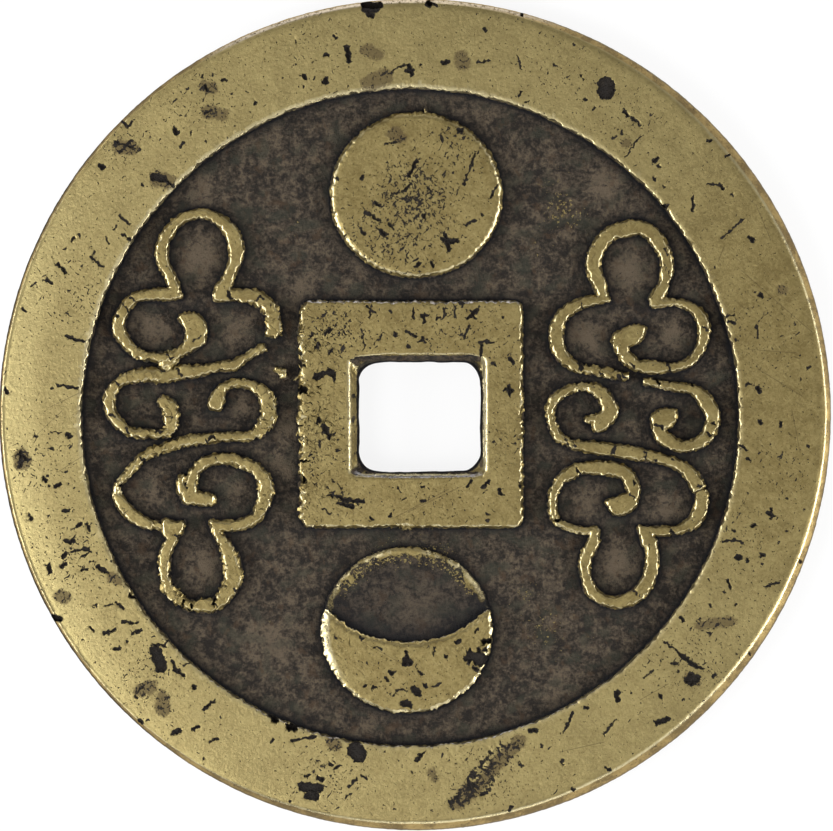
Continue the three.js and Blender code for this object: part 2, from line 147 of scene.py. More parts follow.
# Distances in millimetres that count as the same place, as the same height, and as out of reach
NEAR = 1e-4
LEVEL = 0.01
FAR_AWAY = 9.0

# Share of its height that a rounded upper edge loses, and the height above the field, in millimetres, to
# which stray metal is filed down
EDGE_DROP = 0.42
FILED = 0.69

# Lamps: name, azimuth and elevation in degrees, width and height in metres, how bright they look
LAMP_DISTANCE = 0.34
LAMPS = [
    ("key", 204, 60, 0.14, 0.14, 8.0), ("fill", 305, 58, 0.16, 0.16, 0.3),
    ("right_strip", 346, 28, 0.24, 0.14, 9.0), ("left_strip", 188, 28, 0.24, 0.14, 9.0),
    ("top_strip", 90, 14, 0.2, 0.06, 3.0), ("bottom_strip", 280, 22, 0.2, 0.06, 4.0),
]

# The camera's sensor in millimetres, and the floor's width and its depth under the coin in metres
SENSOR_WIDTH = 36
FLOOR_SIZE = 6
FLOOR_DROP = 0.00002

# Pits and cracks on the decorated side, read in the photograph's pixels:
# the two ends of each and half its width
PITS = [
    (365, 9, 377, 9, 3.4), (368, 13, 372, 16, 3), (347, 48, 349, 61, 3.2), (325, 80, 325, 82, 3),
    (304, 75, 304, 78, 2), (324, 55, 327, 54, 2), (296, 42, 296, 42, 1.3), (334, 36, 338, 38, 1.4),
    (304, 86, 304, 86, 1.2), (348, 87, 348, 87, 1.2), (388, 74, 400, 66, 0.9), (174, 129, 176, 132, 2.8),
    (122, 121, 127, 127, 1.2), (127, 128, 132, 122, 1.2), (115, 142, 135, 148, 1.4),
    (120, 152, 132, 141, 1.4), (100, 165, 103, 168, 2.4), (153, 177, 163, 179, 4),
    (166, 180, 173, 185, 1.8), (142, 185, 143, 186, 1.4), (202, 75, 202, 78, 1.6), (205, 86, 208, 90, 1.8),
    (187, 90, 187, 90, 1.4), (223, 80, 226, 80, 1.5), (232, 94, 232, 94, 1.3), (247, 92, 247, 92, 1),
    (254, 102, 255, 104, 1.3), (205, 113, 212, 110, 1.4), (191, 132, 191, 134, 0.9),
    (181, 146, 184, 143, 1.3), (206, 142, 207, 143, 1.1), (120, 216, 129, 224, 1.2),
    (114, 230, 117, 226, 0.9), (122, 235, 130, 240, 1.4), (106, 236, 109, 244, 0.9),
    (58, 264, 65, 273, 1.9), (91, 258, 104, 267, 1.2), (93, 255, 95, 251, 1.1), (72, 241, 75, 238, 1.4),
    (79, 234, 81, 238, 1), (64, 249, 67, 249, 0.9), (48, 279, 52, 283, 1.6), (43, 281, 46, 280, 1.2),
    (31, 286, 36, 283, 0.8), (67, 336, 84, 342, 1.5), (22, 309, 25, 311, 1.4), (58, 385, 78, 389, 1.3),
    (51, 388, 53, 388, 1), (5, 388, 7, 393, 1.8), (427, 4, 430, 6, 2), (434, 4, 437, 6, 1.5),
    (484, 29, 485, 31, 1.6), (443, 63, 447, 62, 2.2), (478, 62, 488, 62, 1.2), (409, 66, 412, 74, 2),
    (406, 71, 414, 71, 1.8), (420, 64, 420, 64, 1.2), (400, 66, 404, 65, 1.6), (517, 57, 522, 69, 0.8),
    (518, 97, 521, 92, 1.3), (525, 103, 528, 102, 1.1), (554, 65, 555, 66, 1.3), (574, 44, 574, 44, 1.2),
    (581, 76, 583, 80, 1.4), (584, 100, 586, 100, 1.2), (606, 86, 606, 90, 9.6), (592, 111, 596, 107, 0.8),
    (624, 112, 627, 116, 1.8), (631, 119, 635, 122, 1.8), (637, 122, 640, 125, 1.2),
    (622, 131, 622, 134, 1.2), (613, 139, 617, 135, 0.9), (625, 158, 640, 138, 0.8),
    (654, 162, 657, 159, 2.2), (659, 166, 661, 168, 1.5), (654, 179, 654, 181, 1.3),
    (664, 186, 665, 187, 1.1), (635, 166, 635, 166, 1), (709, 141, 711, 141, 2), (726, 157, 729, 155, 1.4),
    (711, 152, 711, 152, 1), (708, 184, 716, 184, 1), (719, 184, 723, 188, 1.2), (731, 194, 733, 196, 1.2),
    (693, 197, 693, 211, 1.3), (722, 238, 743, 219, 0.9), (749, 237, 752, 241, 2.1),
    (663, 207, 667, 205, 2), (759, 294, 762, 296, 1.7), (756, 325, 758, 338, 1.1), (727, 317, 734, 316, 1),
    (728, 321, 735, 324, 1), (735, 339, 736, 340, 1), (808, 369, 810, 367, 1.4), (800, 355, 800, 355, 1),
    (791, 338, 791, 338, 0.9), (757, 388, 760, 391, 2.2), (747, 384, 750, 384, 1.5),
    (800, 378, 800, 379, 1), (715, 267, 715, 267, 1), (759, 254, 760, 254, 1), (67, 434, 71, 438, 1.9),
    (55, 431, 60, 432, 0.8), (35, 436, 37, 436, 1.3), (49, 449, 53, 450, 1.4), (18, 455, 26, 458, 2),
    (21, 452, 20, 466, 1.8), (43, 478, 46, 481, 2), (55, 487, 60, 485, 1.8), (69, 484, 69, 484, 1.1),
    (49, 486, 50, 487, 1), (29, 513, 31, 520, 1.4), (64, 511, 68, 511, 1.4), (77, 526, 81, 524, 1.7),
    (87, 524, 89, 529, 2), (66, 541, 74, 541, 2.1), (63, 557, 66, 554, 2), (62, 566, 66, 564, 2.3),
    (71, 551, 89, 549, 1.1), (82, 557, 90, 551, 1.2), (90, 562, 94, 561, 1.2), (50, 564, 49, 572, 2),
    (81, 571, 87, 569, 1.5), (97, 566, 108, 573, 2), (111, 561, 111, 561, 1), (117, 603, 123, 609, 1.4),
    (104, 606, 113, 604, 0.8), (94, 605, 97, 606, 1.2), (103, 634, 108, 633, 1.9),
    (108, 632, 115, 630, 1.5), (124, 622, 137, 623, 1.4), (131, 634, 140, 631, 1.6),
    (91, 628, 94, 630, 1.5), (113, 649, 119, 648, 1.6), (83, 639, 83, 640, 1), (127, 641, 128, 642, 1.2),
    (156, 652, 161, 667, 6), (153, 645, 166, 646, 1.6), (165, 645, 173, 638, 0.9),
    (171, 660, 181, 675, 1.5), (175, 670, 183, 676, 1.8), (183, 665, 189, 664, 1), (193, 687, 195, 688, 2),
    (138, 692, 144, 687, 1.2), (136, 697, 137, 698, 1.2), (203, 710, 214, 701, 1.4),
    (173, 733, 180, 731, 1.9), (193, 729, 198, 727, 1.9), (209, 741, 217, 738, 1.2),
    (139, 720, 142, 723, 1.9), (204, 759, 204, 759, 1.2), (292, 741, 314, 737, 1.5),
    (355, 750, 359, 754, 8.5), (336, 768, 339, 767, 1.6), (329, 763, 332, 765, 1.2),
    (322, 765, 324, 766, 1), (317, 759, 319, 760, 1), (306, 777, 309, 775, 1.6), (318, 778, 323, 780, 1.7),
    (302, 787, 320, 788, 4.5), (308, 796, 316, 796, 4), (349, 787, 357, 779, 1.2),
    (363, 776, 366, 778, 1.2), (347, 797, 352, 794, 0.9), (290, 801, 290, 802, 1.3),
    (394, 810, 394, 810, 1.1), (412, 772, 412, 772, 1.2), (385, 751, 385, 751, 1),
    (271, 741, 274, 739, 1.2), (747, 459, 750, 461, 1.8), (741, 446, 747, 449, 1.4),
    (780, 421, 780, 426, 1.6), (760, 421, 762, 423, 2), (809, 445, 809, 445, 1.2),
    (786, 499, 788, 499, 1.1), (768, 512, 774, 516, 1.6), (771, 509, 770, 519, 1.6),
    (751, 526, 755, 525, 1.5), (732, 531, 735, 531, 1.2), (786, 532, 788, 532, 1.2),
    (723, 541, 736, 541, 1.2), (733, 539, 743, 543, 1.3), (737, 558, 741, 557, 2.9),
    (761, 555, 765, 555, 2), (748, 559, 748, 562, 1.3), (763, 563, 763, 563, 1.3),
    (727, 581, 730, 588, 1.8), (708, 580, 708, 580, 1.2), (722, 591, 724, 592, 1.3),
    (765, 587, 779, 582, 1), (681, 618, 683, 620, 2), (700, 619, 700, 619, 1.1), (710, 605, 711, 607, 1.3),
    (735, 606, 736, 605, 1.2), (707, 633, 709, 635, 1.3), (665, 642, 678, 652, 1), (678, 653, 688, 660, 2),
    (688, 661, 702, 669, 1.6), (688, 680, 697, 678, 4.2), (691, 674, 692, 684, 3),
    (713, 677, 715, 675, 1.4), (672, 664, 676, 663, 1.6), (645, 678, 653, 670, 1),
    (678, 671, 678, 672, 1.2), (617, 693, 618, 700, 2.8), (659, 695, 662, 698, 1.8),
    (659, 685, 659, 686, 0.9), (631, 694, 631, 694, 1.2), (683, 700, 683, 701, 1.2),
    (585, 708, 587, 708, 1.9), (656, 723, 668, 719, 2.8), (565, 731, 573, 713, 1.4),
    (603, 735, 616, 719, 1.1), (530, 731, 537, 731, 2.2), (542, 744, 542, 747, 1.1),
    (562, 760, 563, 764, 1.3), (606, 768, 610, 770, 1.6), (572, 789, 574, 790, 1.6),
    (521, 766, 524, 765, 1.2), (509, 811, 512, 806, 1.2), (416, 761, 424, 752, 1.8),
    (750, 654, 750, 655, 1.3), (800, 561, 801, 562, 1.3),
    # collar
    (366, 307, 376, 313, 1.1), (372, 306, 369, 317, 1.1), (318, 320, 326, 313, 0.7),
    (327, 333, 331, 331, 2.4), (311, 336, 314, 333, 1.5), (336, 324, 337, 326, 1.1),
    (344, 332, 346, 334, 1), (312, 338, 319, 345, 1.4), (315, 350, 318, 348, 1.6),
    (328, 353, 332, 350, 1.7), (313, 376, 322, 374, 2.8), (322, 374, 333, 374, 3.1),
    (328, 368, 334, 379, 1.3), (362, 330, 365, 348, 0.9), (375, 345, 384, 333, 0.6),
    (395, 333, 395, 336, 1.5), (390, 311, 391, 313, 1), (413, 310, 414, 319, 1.4),
    (421, 316, 427, 316, 1.9), (424, 315, 424, 321, 1.5), (468, 318, 476, 311, 2.1),
    (471, 311, 475, 317, 1.6), (444, 309, 446, 316, 1), (455, 306, 456, 318, 0.9),
    (460, 304, 464, 304, 1.5), (437, 319, 440, 318, 1.3), (463, 340, 469, 325, 0.8),
    (405, 332, 416, 337, 1.4), (418, 342, 427, 338, 1.2), (422, 338, 424, 343, 1.2),
    (408, 345, 409, 348, 1.4), (480, 341, 493, 343, 1.1), (481, 344, 481, 355, 1.6),
    (492, 363, 494, 365, 1.5), (509, 359, 512, 361, 1.8), (505, 389, 513, 390, 2),
    (509, 386, 509, 394, 1.8), (504, 316, 504, 317, 1.1), (323, 428, 329, 434, 2.6),
    (318, 418, 318, 424, 2.2), (329, 432, 336, 434, 0.8), (317, 440, 320, 444, 1),
    (316, 451, 318, 451, 1.1), (338, 452, 340, 452, 1.3), (314, 484, 318, 489, 0.9),
    (331, 479, 333, 480, 1), (338, 483, 341, 487, 0.9), (330, 495, 345, 500, 2.3),
    (343, 500, 362, 501, 2.6), (338, 503, 352, 507, 2), (326, 488, 336, 495, 0.9), (339, 488, 343, 496, 1),
    (370, 518, 372, 520, 1.7), (389, 517, 392, 514, 1.2), (398, 487, 401, 491, 0.9),
    (322, 508, 330, 513, 0.8), (403, 500, 406, 499, 0.9), (422, 487, 423, 487, 1.4),
    (467, 487, 471, 480, 1.5), (482, 487, 489, 481, 1.5), (484, 492, 487, 491, 1.3),
    (499, 490, 502, 494, 1.7), (488, 514, 489, 516, 1.5), (487, 521, 488, 522, 1.2),
    (422, 501, 426, 501, 1.2), (515, 444, 515, 444, 1.2), (494, 442, 494, 443, 1.1),
    (520, 483, 521, 486, 1.5),
    # sun
    (386, 144, 396, 141, 1.1), (337, 178, 338, 179, 1.3), (361, 179, 364, 177, 1.6),
    (375, 204, 380, 206, 2.1), (364, 213, 380, 220, 1.5), (381, 231, 385, 235, 2.7),
    (458, 131, 462, 131, 2.2), (439, 135, 443, 141, 1), (410, 175, 417, 161, 2.1),
    (475, 154, 464, 185, 0.9), (497, 185, 491, 198, 1), (443, 240, 457, 241, 2.4),
    (445, 235, 449, 250, 2.2), (423, 216, 426, 213, 1.9), (466, 225, 476, 220, 1.1),
    (432, 262, 433, 266, 1.9), (416, 267, 419, 263, 1.5), (482, 213, 483, 215, 0.9),
    (446, 262, 446, 262, 1), (361, 228, 365, 233, 1.3), (391, 196, 399, 190, 1.1),
    (388, 223, 393, 229, 1.2), (404, 190, 410, 184, 1.2), (428, 187, 433, 195, 1),
    # moon
    (407, 652, 407, 655, 2.2), (405, 661, 409, 661, 4.6), (391, 673, 393, 673, 2.3),
    (385, 679, 386, 680, 1.5), (372, 690, 375, 687, 1.4), (364, 686, 366, 686, 1.5),
    (360, 636, 363, 639, 1.2), (374, 648, 382, 649, 0.8), (334, 636, 336, 639, 1.1),
    (393, 696, 398, 690, 0.9), (398, 689, 405, 690, 0.8), (403, 703, 410, 705, 3.4),
    (413, 689, 419, 693, 3.6), (433, 647, 436, 648, 1), (435, 648, 433, 655, 0.9),
    (456, 642, 460, 640, 1.6), (445, 656, 448, 657, 1.3), (475, 631, 479, 629, 1.4),
    (471, 656, 481, 660, 6.5), (478, 648, 486, 650, 3.4), (474, 668, 477, 670, 2.4),
    (466, 657, 468, 663, 2.5), (425, 685, 426, 687, 1.6), (433, 687, 440, 683, 0.9),
    (419, 672, 421, 675, 1.1), (360, 660, 362, 661, 1),
    # left cloud
    (172, 230, 172, 231, 0.9), (131, 297, 135, 301, 1), (123, 305, 128, 311, 1.3),
    (116, 315, 118, 317, 1.2), (228, 293, 231, 298, 1.7), (257, 300, 261, 296, 1.1),
    (262, 298, 264, 299, 1), (271, 305, 272, 306, 0.9), (193, 340, 201, 337, 0.7),
    (167, 355, 171, 358, 1.3), (176, 369, 183, 376, 0.9), (161, 371, 166, 371, 1),
    (126, 375, 127, 375, 0.9), (115, 381, 118, 386, 1.1), (109, 415, 115, 416, 0.9),
    (125, 428, 128, 434, 1), (156, 430, 163, 432, 1.1), (167, 417, 172, 417, 0.5),
    (209, 438, 214, 437, 1.9), (206, 440, 208, 442, 1), (141, 458, 145, 460, 1.4), (256, 388, 256, 388, 1),
    (269, 397, 269, 398, 0.9), (217, 458, 219, 462, 0.6), (241, 459, 242, 460, 0.9),
    (214, 594, 217, 605, 1), (226, 584, 229, 586, 0.8), (235, 588, 236, 590, 0.9),
    (173, 536, 180, 535, 0.6), (186, 484, 186, 488, 1.4),
    # right cloud
    (666, 248, 668, 255, 0.9), (668, 272, 669, 276, 0.9), (581, 303, 583, 309, 0.8),
    (579, 362, 581, 368, 1.6), (599, 370, 601, 374, 0.7), (616, 376, 620, 378, 1.6),
    (623, 374, 626, 378, 0.8), (632, 362, 635, 368, 1), (668, 365, 671, 372, 1.4), (652, 366, 653, 366, 1),
    (703, 326, 707, 331, 0.8), (655, 426, 661, 428, 1.8), (713, 423, 715, 425, 1.6),
    (707, 432, 710, 436, 1.4), (566, 440, 568, 445, 0.9), (573, 443, 574, 446, 0.8),
    (612, 453, 615, 446, 1.1), (645, 452, 646, 460, 0.9), (577, 469, 580, 475, 1.2),
    (671, 460, 673, 461, 0.9), (654, 460, 656, 461, 0.9), (633, 481, 634, 484, 1.4),
    (630, 493, 634, 500, 1), (698, 485, 700, 486, 1.2), (671, 531, 675, 534, 2), (649, 545, 649, 549, 0.9),
    (634, 590, 637, 595, 0.8), (562, 493, 562, 500, 0.8),
]
# Crackled patch at the foot of the rim, in the same measure
CRACKLE = [
    (500, 740, 506, 746, 1.1), (506, 746, 517, 742, 1), (519, 741, 521, 738, 1.2),
    (497, 748, 500, 757, 1.3), (501, 742, 498, 748, 1.5), (507, 748, 508, 755, 1.2),
    (492, 752, 486, 760, 1.6), (500, 761, 492, 765, 1.2), (490, 766, 483, 773, 1.3),
    (480, 774, 471, 776, 1.4), (485, 761, 479, 768, 1.4), (476, 769, 469, 776, 1.8),
    (468, 779, 469, 788, 2.3), (471, 789, 479, 794, 1.7), (481, 794, 489, 790, 2),
    (490, 788, 492, 779, 1.6), (491, 777, 485, 776, 1), (475, 779, 479, 783, 1), (473, 795, 467, 800, 1.4),
    (461, 790, 457, 799, 1.8), (458, 800, 462, 806, 1.4), (456, 799, 449, 803, 1.4),
    (450, 804, 454, 809, 1), (505, 765, 509, 758, 1), (503, 768, 497, 771, 1), (515, 752, 519, 750, 1),
    (512, 770, 517, 766, 1.2), (519, 762, 522, 765, 1.1), (494, 797, 488, 801, 0.9),
    (473, 784, 477, 787, 1.7),
]
# Long thin scratches on the decorated side, as the two ends of each
SCRATCHES = [
    (741, 270, 776, 301), (776, 301, 812, 332), (745, 349, 797, 353), (758, 369, 802, 396),
    (718, 262, 724, 247), (48, 408, 79, 393), (31, 440, 62, 411), (58, 472, 92, 450), (640, 700, 668, 684),
    (392, 519, 449, 489), (408, 512, 462, 486), (360, 640, 402, 664), (756, 205, 770, 238),
    (792, 410, 800, 452), (560, 752, 604, 742),
]
# Painted shade on the walls of the hole's mouth
MOUTH_SHADE = [
    (354, 358.5, 478, 358.5, 2.6), (350, 357, 357, 363, 2.6), (469, 356, 477, 358, 3),
    (353, 474, 361, 469, 3.2), (358.8, 368, 358.8, 466, 0.8), (481.3, 372, 481.3, 466, 0.8),
    (366, 472.6, 470, 472.6, 0.7), (370, 477, 468, 477, 0.5), (470, 476, 476, 473, 1.4),
    (353, 395, 354, 397, 1), (354, 418, 353, 421, 1.1),
]
# Painted highlights on the worn lips of the hole's mouth
MOUTH_LIGHT = [
    (348.8, 362, 350, 472, 1.5), (484.8, 360, 485.2, 468, 2.6), (366, 475, 470, 475, 1.2),
    (480, 356, 485, 362, 1.2), (356, 476, 366, 474, 0.9),
]
# Soft brown stains and dirty patches left in scoured metal
STAINS = [
    (370, 83, 385, 77, 7), (366, 50, 378, 54, 5), (120, 146, 131, 147, 6), (157, 178, 168, 181, 6),
    (208, 112, 222, 115, 5), (205, 87, 211, 88, 5), (461, 59, 463, 63, 6), (625, 143, 627, 143, 3.4),
    (781, 290, 783, 290, 3), (22, 457, 22, 461, 7), (60, 596, 64, 598, 5), (162, 698, 164, 708, 6),
    (140, 690, 150, 688, 6), (112, 576, 119, 581, 4), (331, 742, 336, 745, 5), (520, 741, 500, 760, 5),
    (500, 760, 480, 785, 5), (478, 786, 458, 803, 6), (432, 773, 434, 777, 3.6), (690, 679, 695, 679, 6),
    (395, 133, 400, 137, 6), (478, 786, 466, 790, 6), (700, 625, 730, 622, 4),
]
# Bites out of an edge, which go down almost to the field
BITES = [
    (270, 713, 275, 720, 3.2), (289, 727, 295, 728, 3.6), (300, 463, 308, 462, 2), (301, 479, 307, 480, 2),
    (300, 390, 308, 392, 2.2), (299, 364, 303, 366, 1.6), (52, 617, 60, 619, 2.8), (364, 5, 380, 5, 3.2),
    (428, 2, 431, 4, 2.2), (522, 11, 522, 15, 1.3), (300, 424, 302, 426, 1.4), (484, 641, 489, 641, 2),
    (131, 596, 135, 597, 2), (664, 206, 660, 208, 2), (122, 486, 127, 491, 2.5), (655, 379, 659, 384, 1.3),
    (691, 384, 694, 387, 0.9), (632, 380, 634, 383, 1), (236, 505, 240, 501, 1.2),
    (183, 606, 186, 602, 1.4), (190, 609, 193, 606, 1.3), (216, 598, 214, 605, 1),
    (556.5, 521, 560, 520, 1.3),
]
# Stray cast metal: name, place, half length and half width in pixels, turn in degrees, height in millimetres
FLASHES = [
    ("flash_left_upper", 169, 360, 14, 9, 55, 0.74), ("flash_left_field", 281, 373, 9, 4.5, -30, 0.56),
    ("flash_left_fleck", 297, 378, 3.5, 2.5, 40, 0.52), ("flash_right_lower", 702.3, 495.5, 7, 6, 78, 1.5),
    ("flash_left_joint", 159, 526, 8, 4.5, -35, 0.7), ("flash_sun_top", 425.5, 110, 1, 4, 10, 0.5),
    ("flash_left_curl", 183, 483, 6, 7, 20, 0.55), ("flash_collar_foot", 405, 527, 7, 3.5, 0, 0.6),
    ("flash_collar_side", 301, 361, 4, 3, 30, 0.5),
]
# Where the field's dark skin is worn through to specks of brass: place, reach, strength
SPECKS = [
    (563, 212, 22, 1), (552, 186, 20, 0.6), (536, 250, 18, 0.5), (525, 592, 22, 0.6), (545, 628, 26, 0.75),
    (515, 575, 16, 0.5), (590, 636, 8, 0.5), (293, 226, 16, 0.5), (305, 262, 6, 0.5), (560, 655, 20, 0.5),
    (270, 625, 12, 0.4), (385, 560, 22, 0.9), (430, 556, 26, 0.9), (355, 575, 14, 0.8), (460, 572, 12, 0.7),
]
# Where edges are more ragged than elsewhere: place, reach, strength
RAGGED = [
    (301, 420, 45, 1.5), (301, 490, 30, 1.6), (301, 345, 30, 1.5), (405, 528, 12, 0.8), (240, 490, 30, 0.7),
    (180, 595, 30, 0.8), (262, 320, 22, 0.9), (155, 380, 40, 0.6), (335, 635, 18, 0.6), (475, 655, 14, 1),
    (170, 440, 40, 0.5), (520, 430, 60, 0.4), (600, 370, 40, 0.4), (225, 570, 30, 0.6),
]
# Where the brown skin is paler, inside the loops of the clouds: place, reach, strength
PALE = [
    (200, 258, 16, 1), (155, 330, 13, 0.8), (238, 328, 13, 0.7), (240, 405, 10, 0.5), (145, 500, 16, 0.4),
    (205, 565, 14, 0.7), (235, 490, 10, 0.5), (628, 272, 17, 1), (587, 335, 13, 0.8), (672, 335, 12, 0.8),
    (590, 500, 14, 0.6), (668, 505, 14, 0.6), (618, 560, 16, 0.8), (415, 605, 26, 0.5), (500, 100, 14, 0.5),
    (605, 185, 16, 0.6), (300, 290, 14, 0.6), (200, 190, 14, 0.5), (560, 700, 20, 0.4), (270, 640, 26, 0.4),
    (286, 425, 12, 0.7), (286, 465, 12, 0.5), (538, 430, 10, 0.4),
]
# How thickly fine pits lie: place, reach, strength
PITTING = [
    (415, 200, 45, 1.25), (395, 235, 45, 1), (335, 330, 34, 0.75), (450, 325, 50, 0.55),
    (320, 450, 34, 0.6), (365, 345, 20, 0.5), (505, 440, 30, 0.4), (440, 500, 50, 0.35),
    (505, 345, 24, 0.5), (460, 140, 30, 0.8), (345, 500, 30, 0.4), (120, 150, 40, 0.4), (200, 95, 40, 0.4),
    (80, 290, 40, 0.55), (75, 550, 45, 0.6), (150, 670, 45, 0.45), (330, 775, 45, 0.5),
    (740, 540, 45, 0.45), (690, 660, 45, 0.5), (630, 120, 35, 0.4), (40, 460, 40, 0.5),
    (480, 780, 45, 0.45), (395, 680, 40, 0.35), (488, 765, 18, 0.8), (468, 790, 16, 0.9),
    (505, 750, 12, 0.7), (310, 45, 40, 0.3), (560, 70, 50, 0.3), (760, 330, 50, 0.35), (785, 470, 40, 0.35),
]


def from_photo(x, y):
    """Millimetres from the coin's centre for a pixel of the photograph."""
    return (x - PHOTO_CENTRE[0]) * PHOTO_MM, (PHOTO_CENTRE[1] - y) * PHOTO_MM


# Fields of numbers over points


class Grain:
    """A smooth random field over millimetres, the same for the same seed."""

    SIDE = 32

    def __init__(self, seed, size, octaves=1):
        self.values = np.random.RandomState(seed).uniform(-1, 1, (self.SIDE,) * 3)
        self.size = size
        self.octaves = octaves

    def _layer(self, points):
        low = np.floor(points).astype(int)
        part = points - low
        part = part * part * (3 - 2 * part)
        total = np.zeros(len(points))
        for corner in range(8):
            step = np.array([corner >> 2 & 1, corner >> 1 & 1, corner & 1])
            weight = np.prod(np.where(step == 1, part, 1 - part), axis=1)
            cell = (low + step) % self.SIDE
            total += weight * self.values[cell[:, 0], cell[:, 1], cell[:, 2]]
        return total

    def __call__(self, points):
        total = np.zeros(len(points))
        for octave in range(self.octaves):
            total += self._layer(points / self.size * 2**octave + 7.3 * octave) / 2**octave
        return total


def step_between(low, high, values):
    """0 up to low, 1 from high on, and a smooth change between. Low may be the larger one."""
    share = np.clip((values - low) / (high - low), 0, 1)
    return share * share * (3 - 2 * share)


def from_axis(points):
    """Distance of each point from the coin's axis."""
    return np.linalg.norm(points[:, :2], axis=1)


def toward(points, turn):
    """1 for points that lie in the direction turn from the coin's axis, and -1 for those opposite."""
    return points[:, :2] @ (math.cos(turn), math.sin(turn)) / from_axis(points)


def mark_distance(points, marks, ragged=0.035):
    """Millimetres from each point, seen from above, to the nearest mark's edge, negative inside it."""
    nearest = np.full(len(points), FAR_AWAY)
    points = points * (1, 1, 0)
    shift = [Grain(seed, 0.2, 2)(points) * ragged for seed in (51, 52)]
    points = points[:, :2] + np.stack(shift, 1)
    low, high = points.min(0) - 1, points.max(0) + 1
    for x1, y1, x2, y2, half in marks:
        start, end = np.array(from_photo(x1, y1)), np.array(from_photo(x2, y2))
        if (np.maximum(start, end) < low).any() or (np.minimum(start, end) > high).any():
            continue
        along = end - start
        offset = points - start
        share = np.clip(offset @ along / max(float(along @ along), 1e-9), 0, 1)
        away = np.linalg.norm(offset - share[:, None] * along, axis=1)
        nearest = np.minimum(nearest, away - half * PHOTO_MM)
    return nearest


def spread(points, places):
    """How strongly each point, seen from above, lies among soft round places."""
    total = np.zeros(len(points))
    for x, y, reach, strength in places:
        away = np.linalg.norm(points[:, :2] - np.array(from_photo(x, y)), axis=1)
        total = np.maximum(total, strength * np.exp(-((away / (reach * PHOTO_MM)) ** 2)))
    return total


def distance_to(outline, points):
    """Distance of each point, seen from above, to the nearest point of an outline."""
    tree = KDTree(len(outline))
    for index, place in enumerate(outline):
        tree.insert((place[0], place[1], 0), index)
    tree.balance()
    return np.array([tree.find((x, y, 0))[2] for x, y, _ in points])


# Meshes, worked on in millimetres and brought to metres when they are finished


def numbers_of(items, field, width=3, kind=float):
    """One field of a mesh's items, a row for each item."""
    flat = np.empty(len(items) * width, dtype=kind)
    items.foreach_get(field, flat)
    return flat.reshape(-1, width)


def points_of(piece):
    return numbers_of(piece.data.vertices, "co")


def normals_of(piece):
    return numbers_of(piece.data.vertex_normals, "vector")


def edges_of(piece):
    return numbers_of(piece.data.edges, "vertices", 2, np.int32)


def move_points(piece, points):
    piece.data.vertices.foreach_set("co", np.ascontiguousarray(points, dtype=float).ravel())
    piece.data.update()


def paint(piece, name, values):
    """Stores one number at each point for the material to read."""
    layer = piece.data.attributes.get(name) or piece.data.attributes.new(name, "FLOAT", "POINT")
    layer.data.foreach_set("value", np.ascontiguousarray(values, dtype=np.float32))


def only(piece):
    """Makes piece the one selected and active object."""
    bpy.ops.object.select_all(action="DESELECT")
    piece.select_set(True)
    bpy.context.view_layer.objects.active = piece


def edit(piece):
    """Opens a piece in edit mode with all of it selected."""
    only(piece)
    bpy.ops.object.mode_set(mode="EDIT")
    bpy.ops.mesh.select_mode(type="VERT")
    bpy.ops.mesh.select_all(action="SELECT")


def done():
    bpy.ops.object.mode_set(mode="OBJECT")


def pick(piece, chosen, kind="VERT"):
    """Opens a piece in edit mode with exactly the chosen vertices, edges or faces selected."""
    edit(piece)
    bpy.ops.mesh.select_mode(type=kind)
    bpy.ops.mesh.select_all(action="DESELECT")
    done()
    parts = {"VERT": piece.data.vertices, "EDGE": piece.data.edges, "FACE": piece.data.polygons}[kind]
    parts.foreach_set("select", np.ascontiguousarray(chosen, dtype=bool))
    bpy.ops.object.mode_set(mode="EDIT")


def weld(piece, distance=WELD):
    edit(piece)
    bpy.ops.mesh.remove_doubles(threshold=distance)
    done()


def outward(piece):
    edit(piece)
    bpy.ops.mesh.normals_make_consistent(inside=False)
    done()


def started(name, add, **settings):
    """A new primitive to work on, as the one selected object."""
    bpy.ops.object.select_all(action="DESELECT")
    add(**settings)
    piece = bpy.context.object
    piece.name = piece.data.name = name
    return piece


def modified(piece, kind, **settings):
    """Adds one modifier to the active piece and applies it."""
    modifier = piece.modifiers.new("wear", kind)
    for name, value in settings.items():
        setattr(modifier, name, value)
    bpy.ops.object.modifier_apply(modifier=modifier.name)


def refine(piece, marks, margins):
    """Splits the upper faces near marks, once for each margin, so that small marks keep their shape."""
    for margin in margins:
        centres = numbers_of(piece.data.polygons, "center")
        near = (mark_distance(centres, marks) < margin) & (centres[:, 2] > FRONT_FIELD + UPPER_FACES)
        if near.any():
            pick(piece, near, "FACE")
            bpy.ops.mesh.subdivide(number_cuts=1, quadcorner="INNERVERT")
            done()


def facing_up_photo(normals):
    """1 for walls that face the photograph's top, -1 for those that face its foot, near 0 for level faces."""
    return normals[:, 1] / np.maximum(np.linalg.norm(normals[:, :2], axis=1), 0.01)


def paint_slope(piece):
    """Stores how far each point leans from level, and how much it faces the photograph's top."""
    normals = normals_of(piece)
    paint(piece, "slope", 1 - np.abs(normals[:, 2]))
    paint(piece, "upward", step_between(0.3, 0.95, facing_up_photo(normals)))


def finished(piece, slot, replaced=()):
    """Brings a piece to metres, smooths its shading and ties it to the frame."""
    if "slope" not in piece.data.attributes:
        paint_slope(piece)
    piece.data.transform(Matrix.Scale(1 / MM, 4))
    only(piece)
    bpy.ops.object.shade_smooth_by_angle(angle=SMOOTH_ANGLE)
    piece.data.materials.clear()
    piece.data.materials.append(bronze(slot))
    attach(piece, "root")
    if replaced:
        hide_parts(*replaced)


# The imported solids, measured and copied


def solid_points(node):
    """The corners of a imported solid, in millimetres."""
    return numbers_of(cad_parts[node].data.vertices, "co") * MM


def box_seen_from_above(points):
    return points[:, :2].min(0), points[:, :2].max(0)


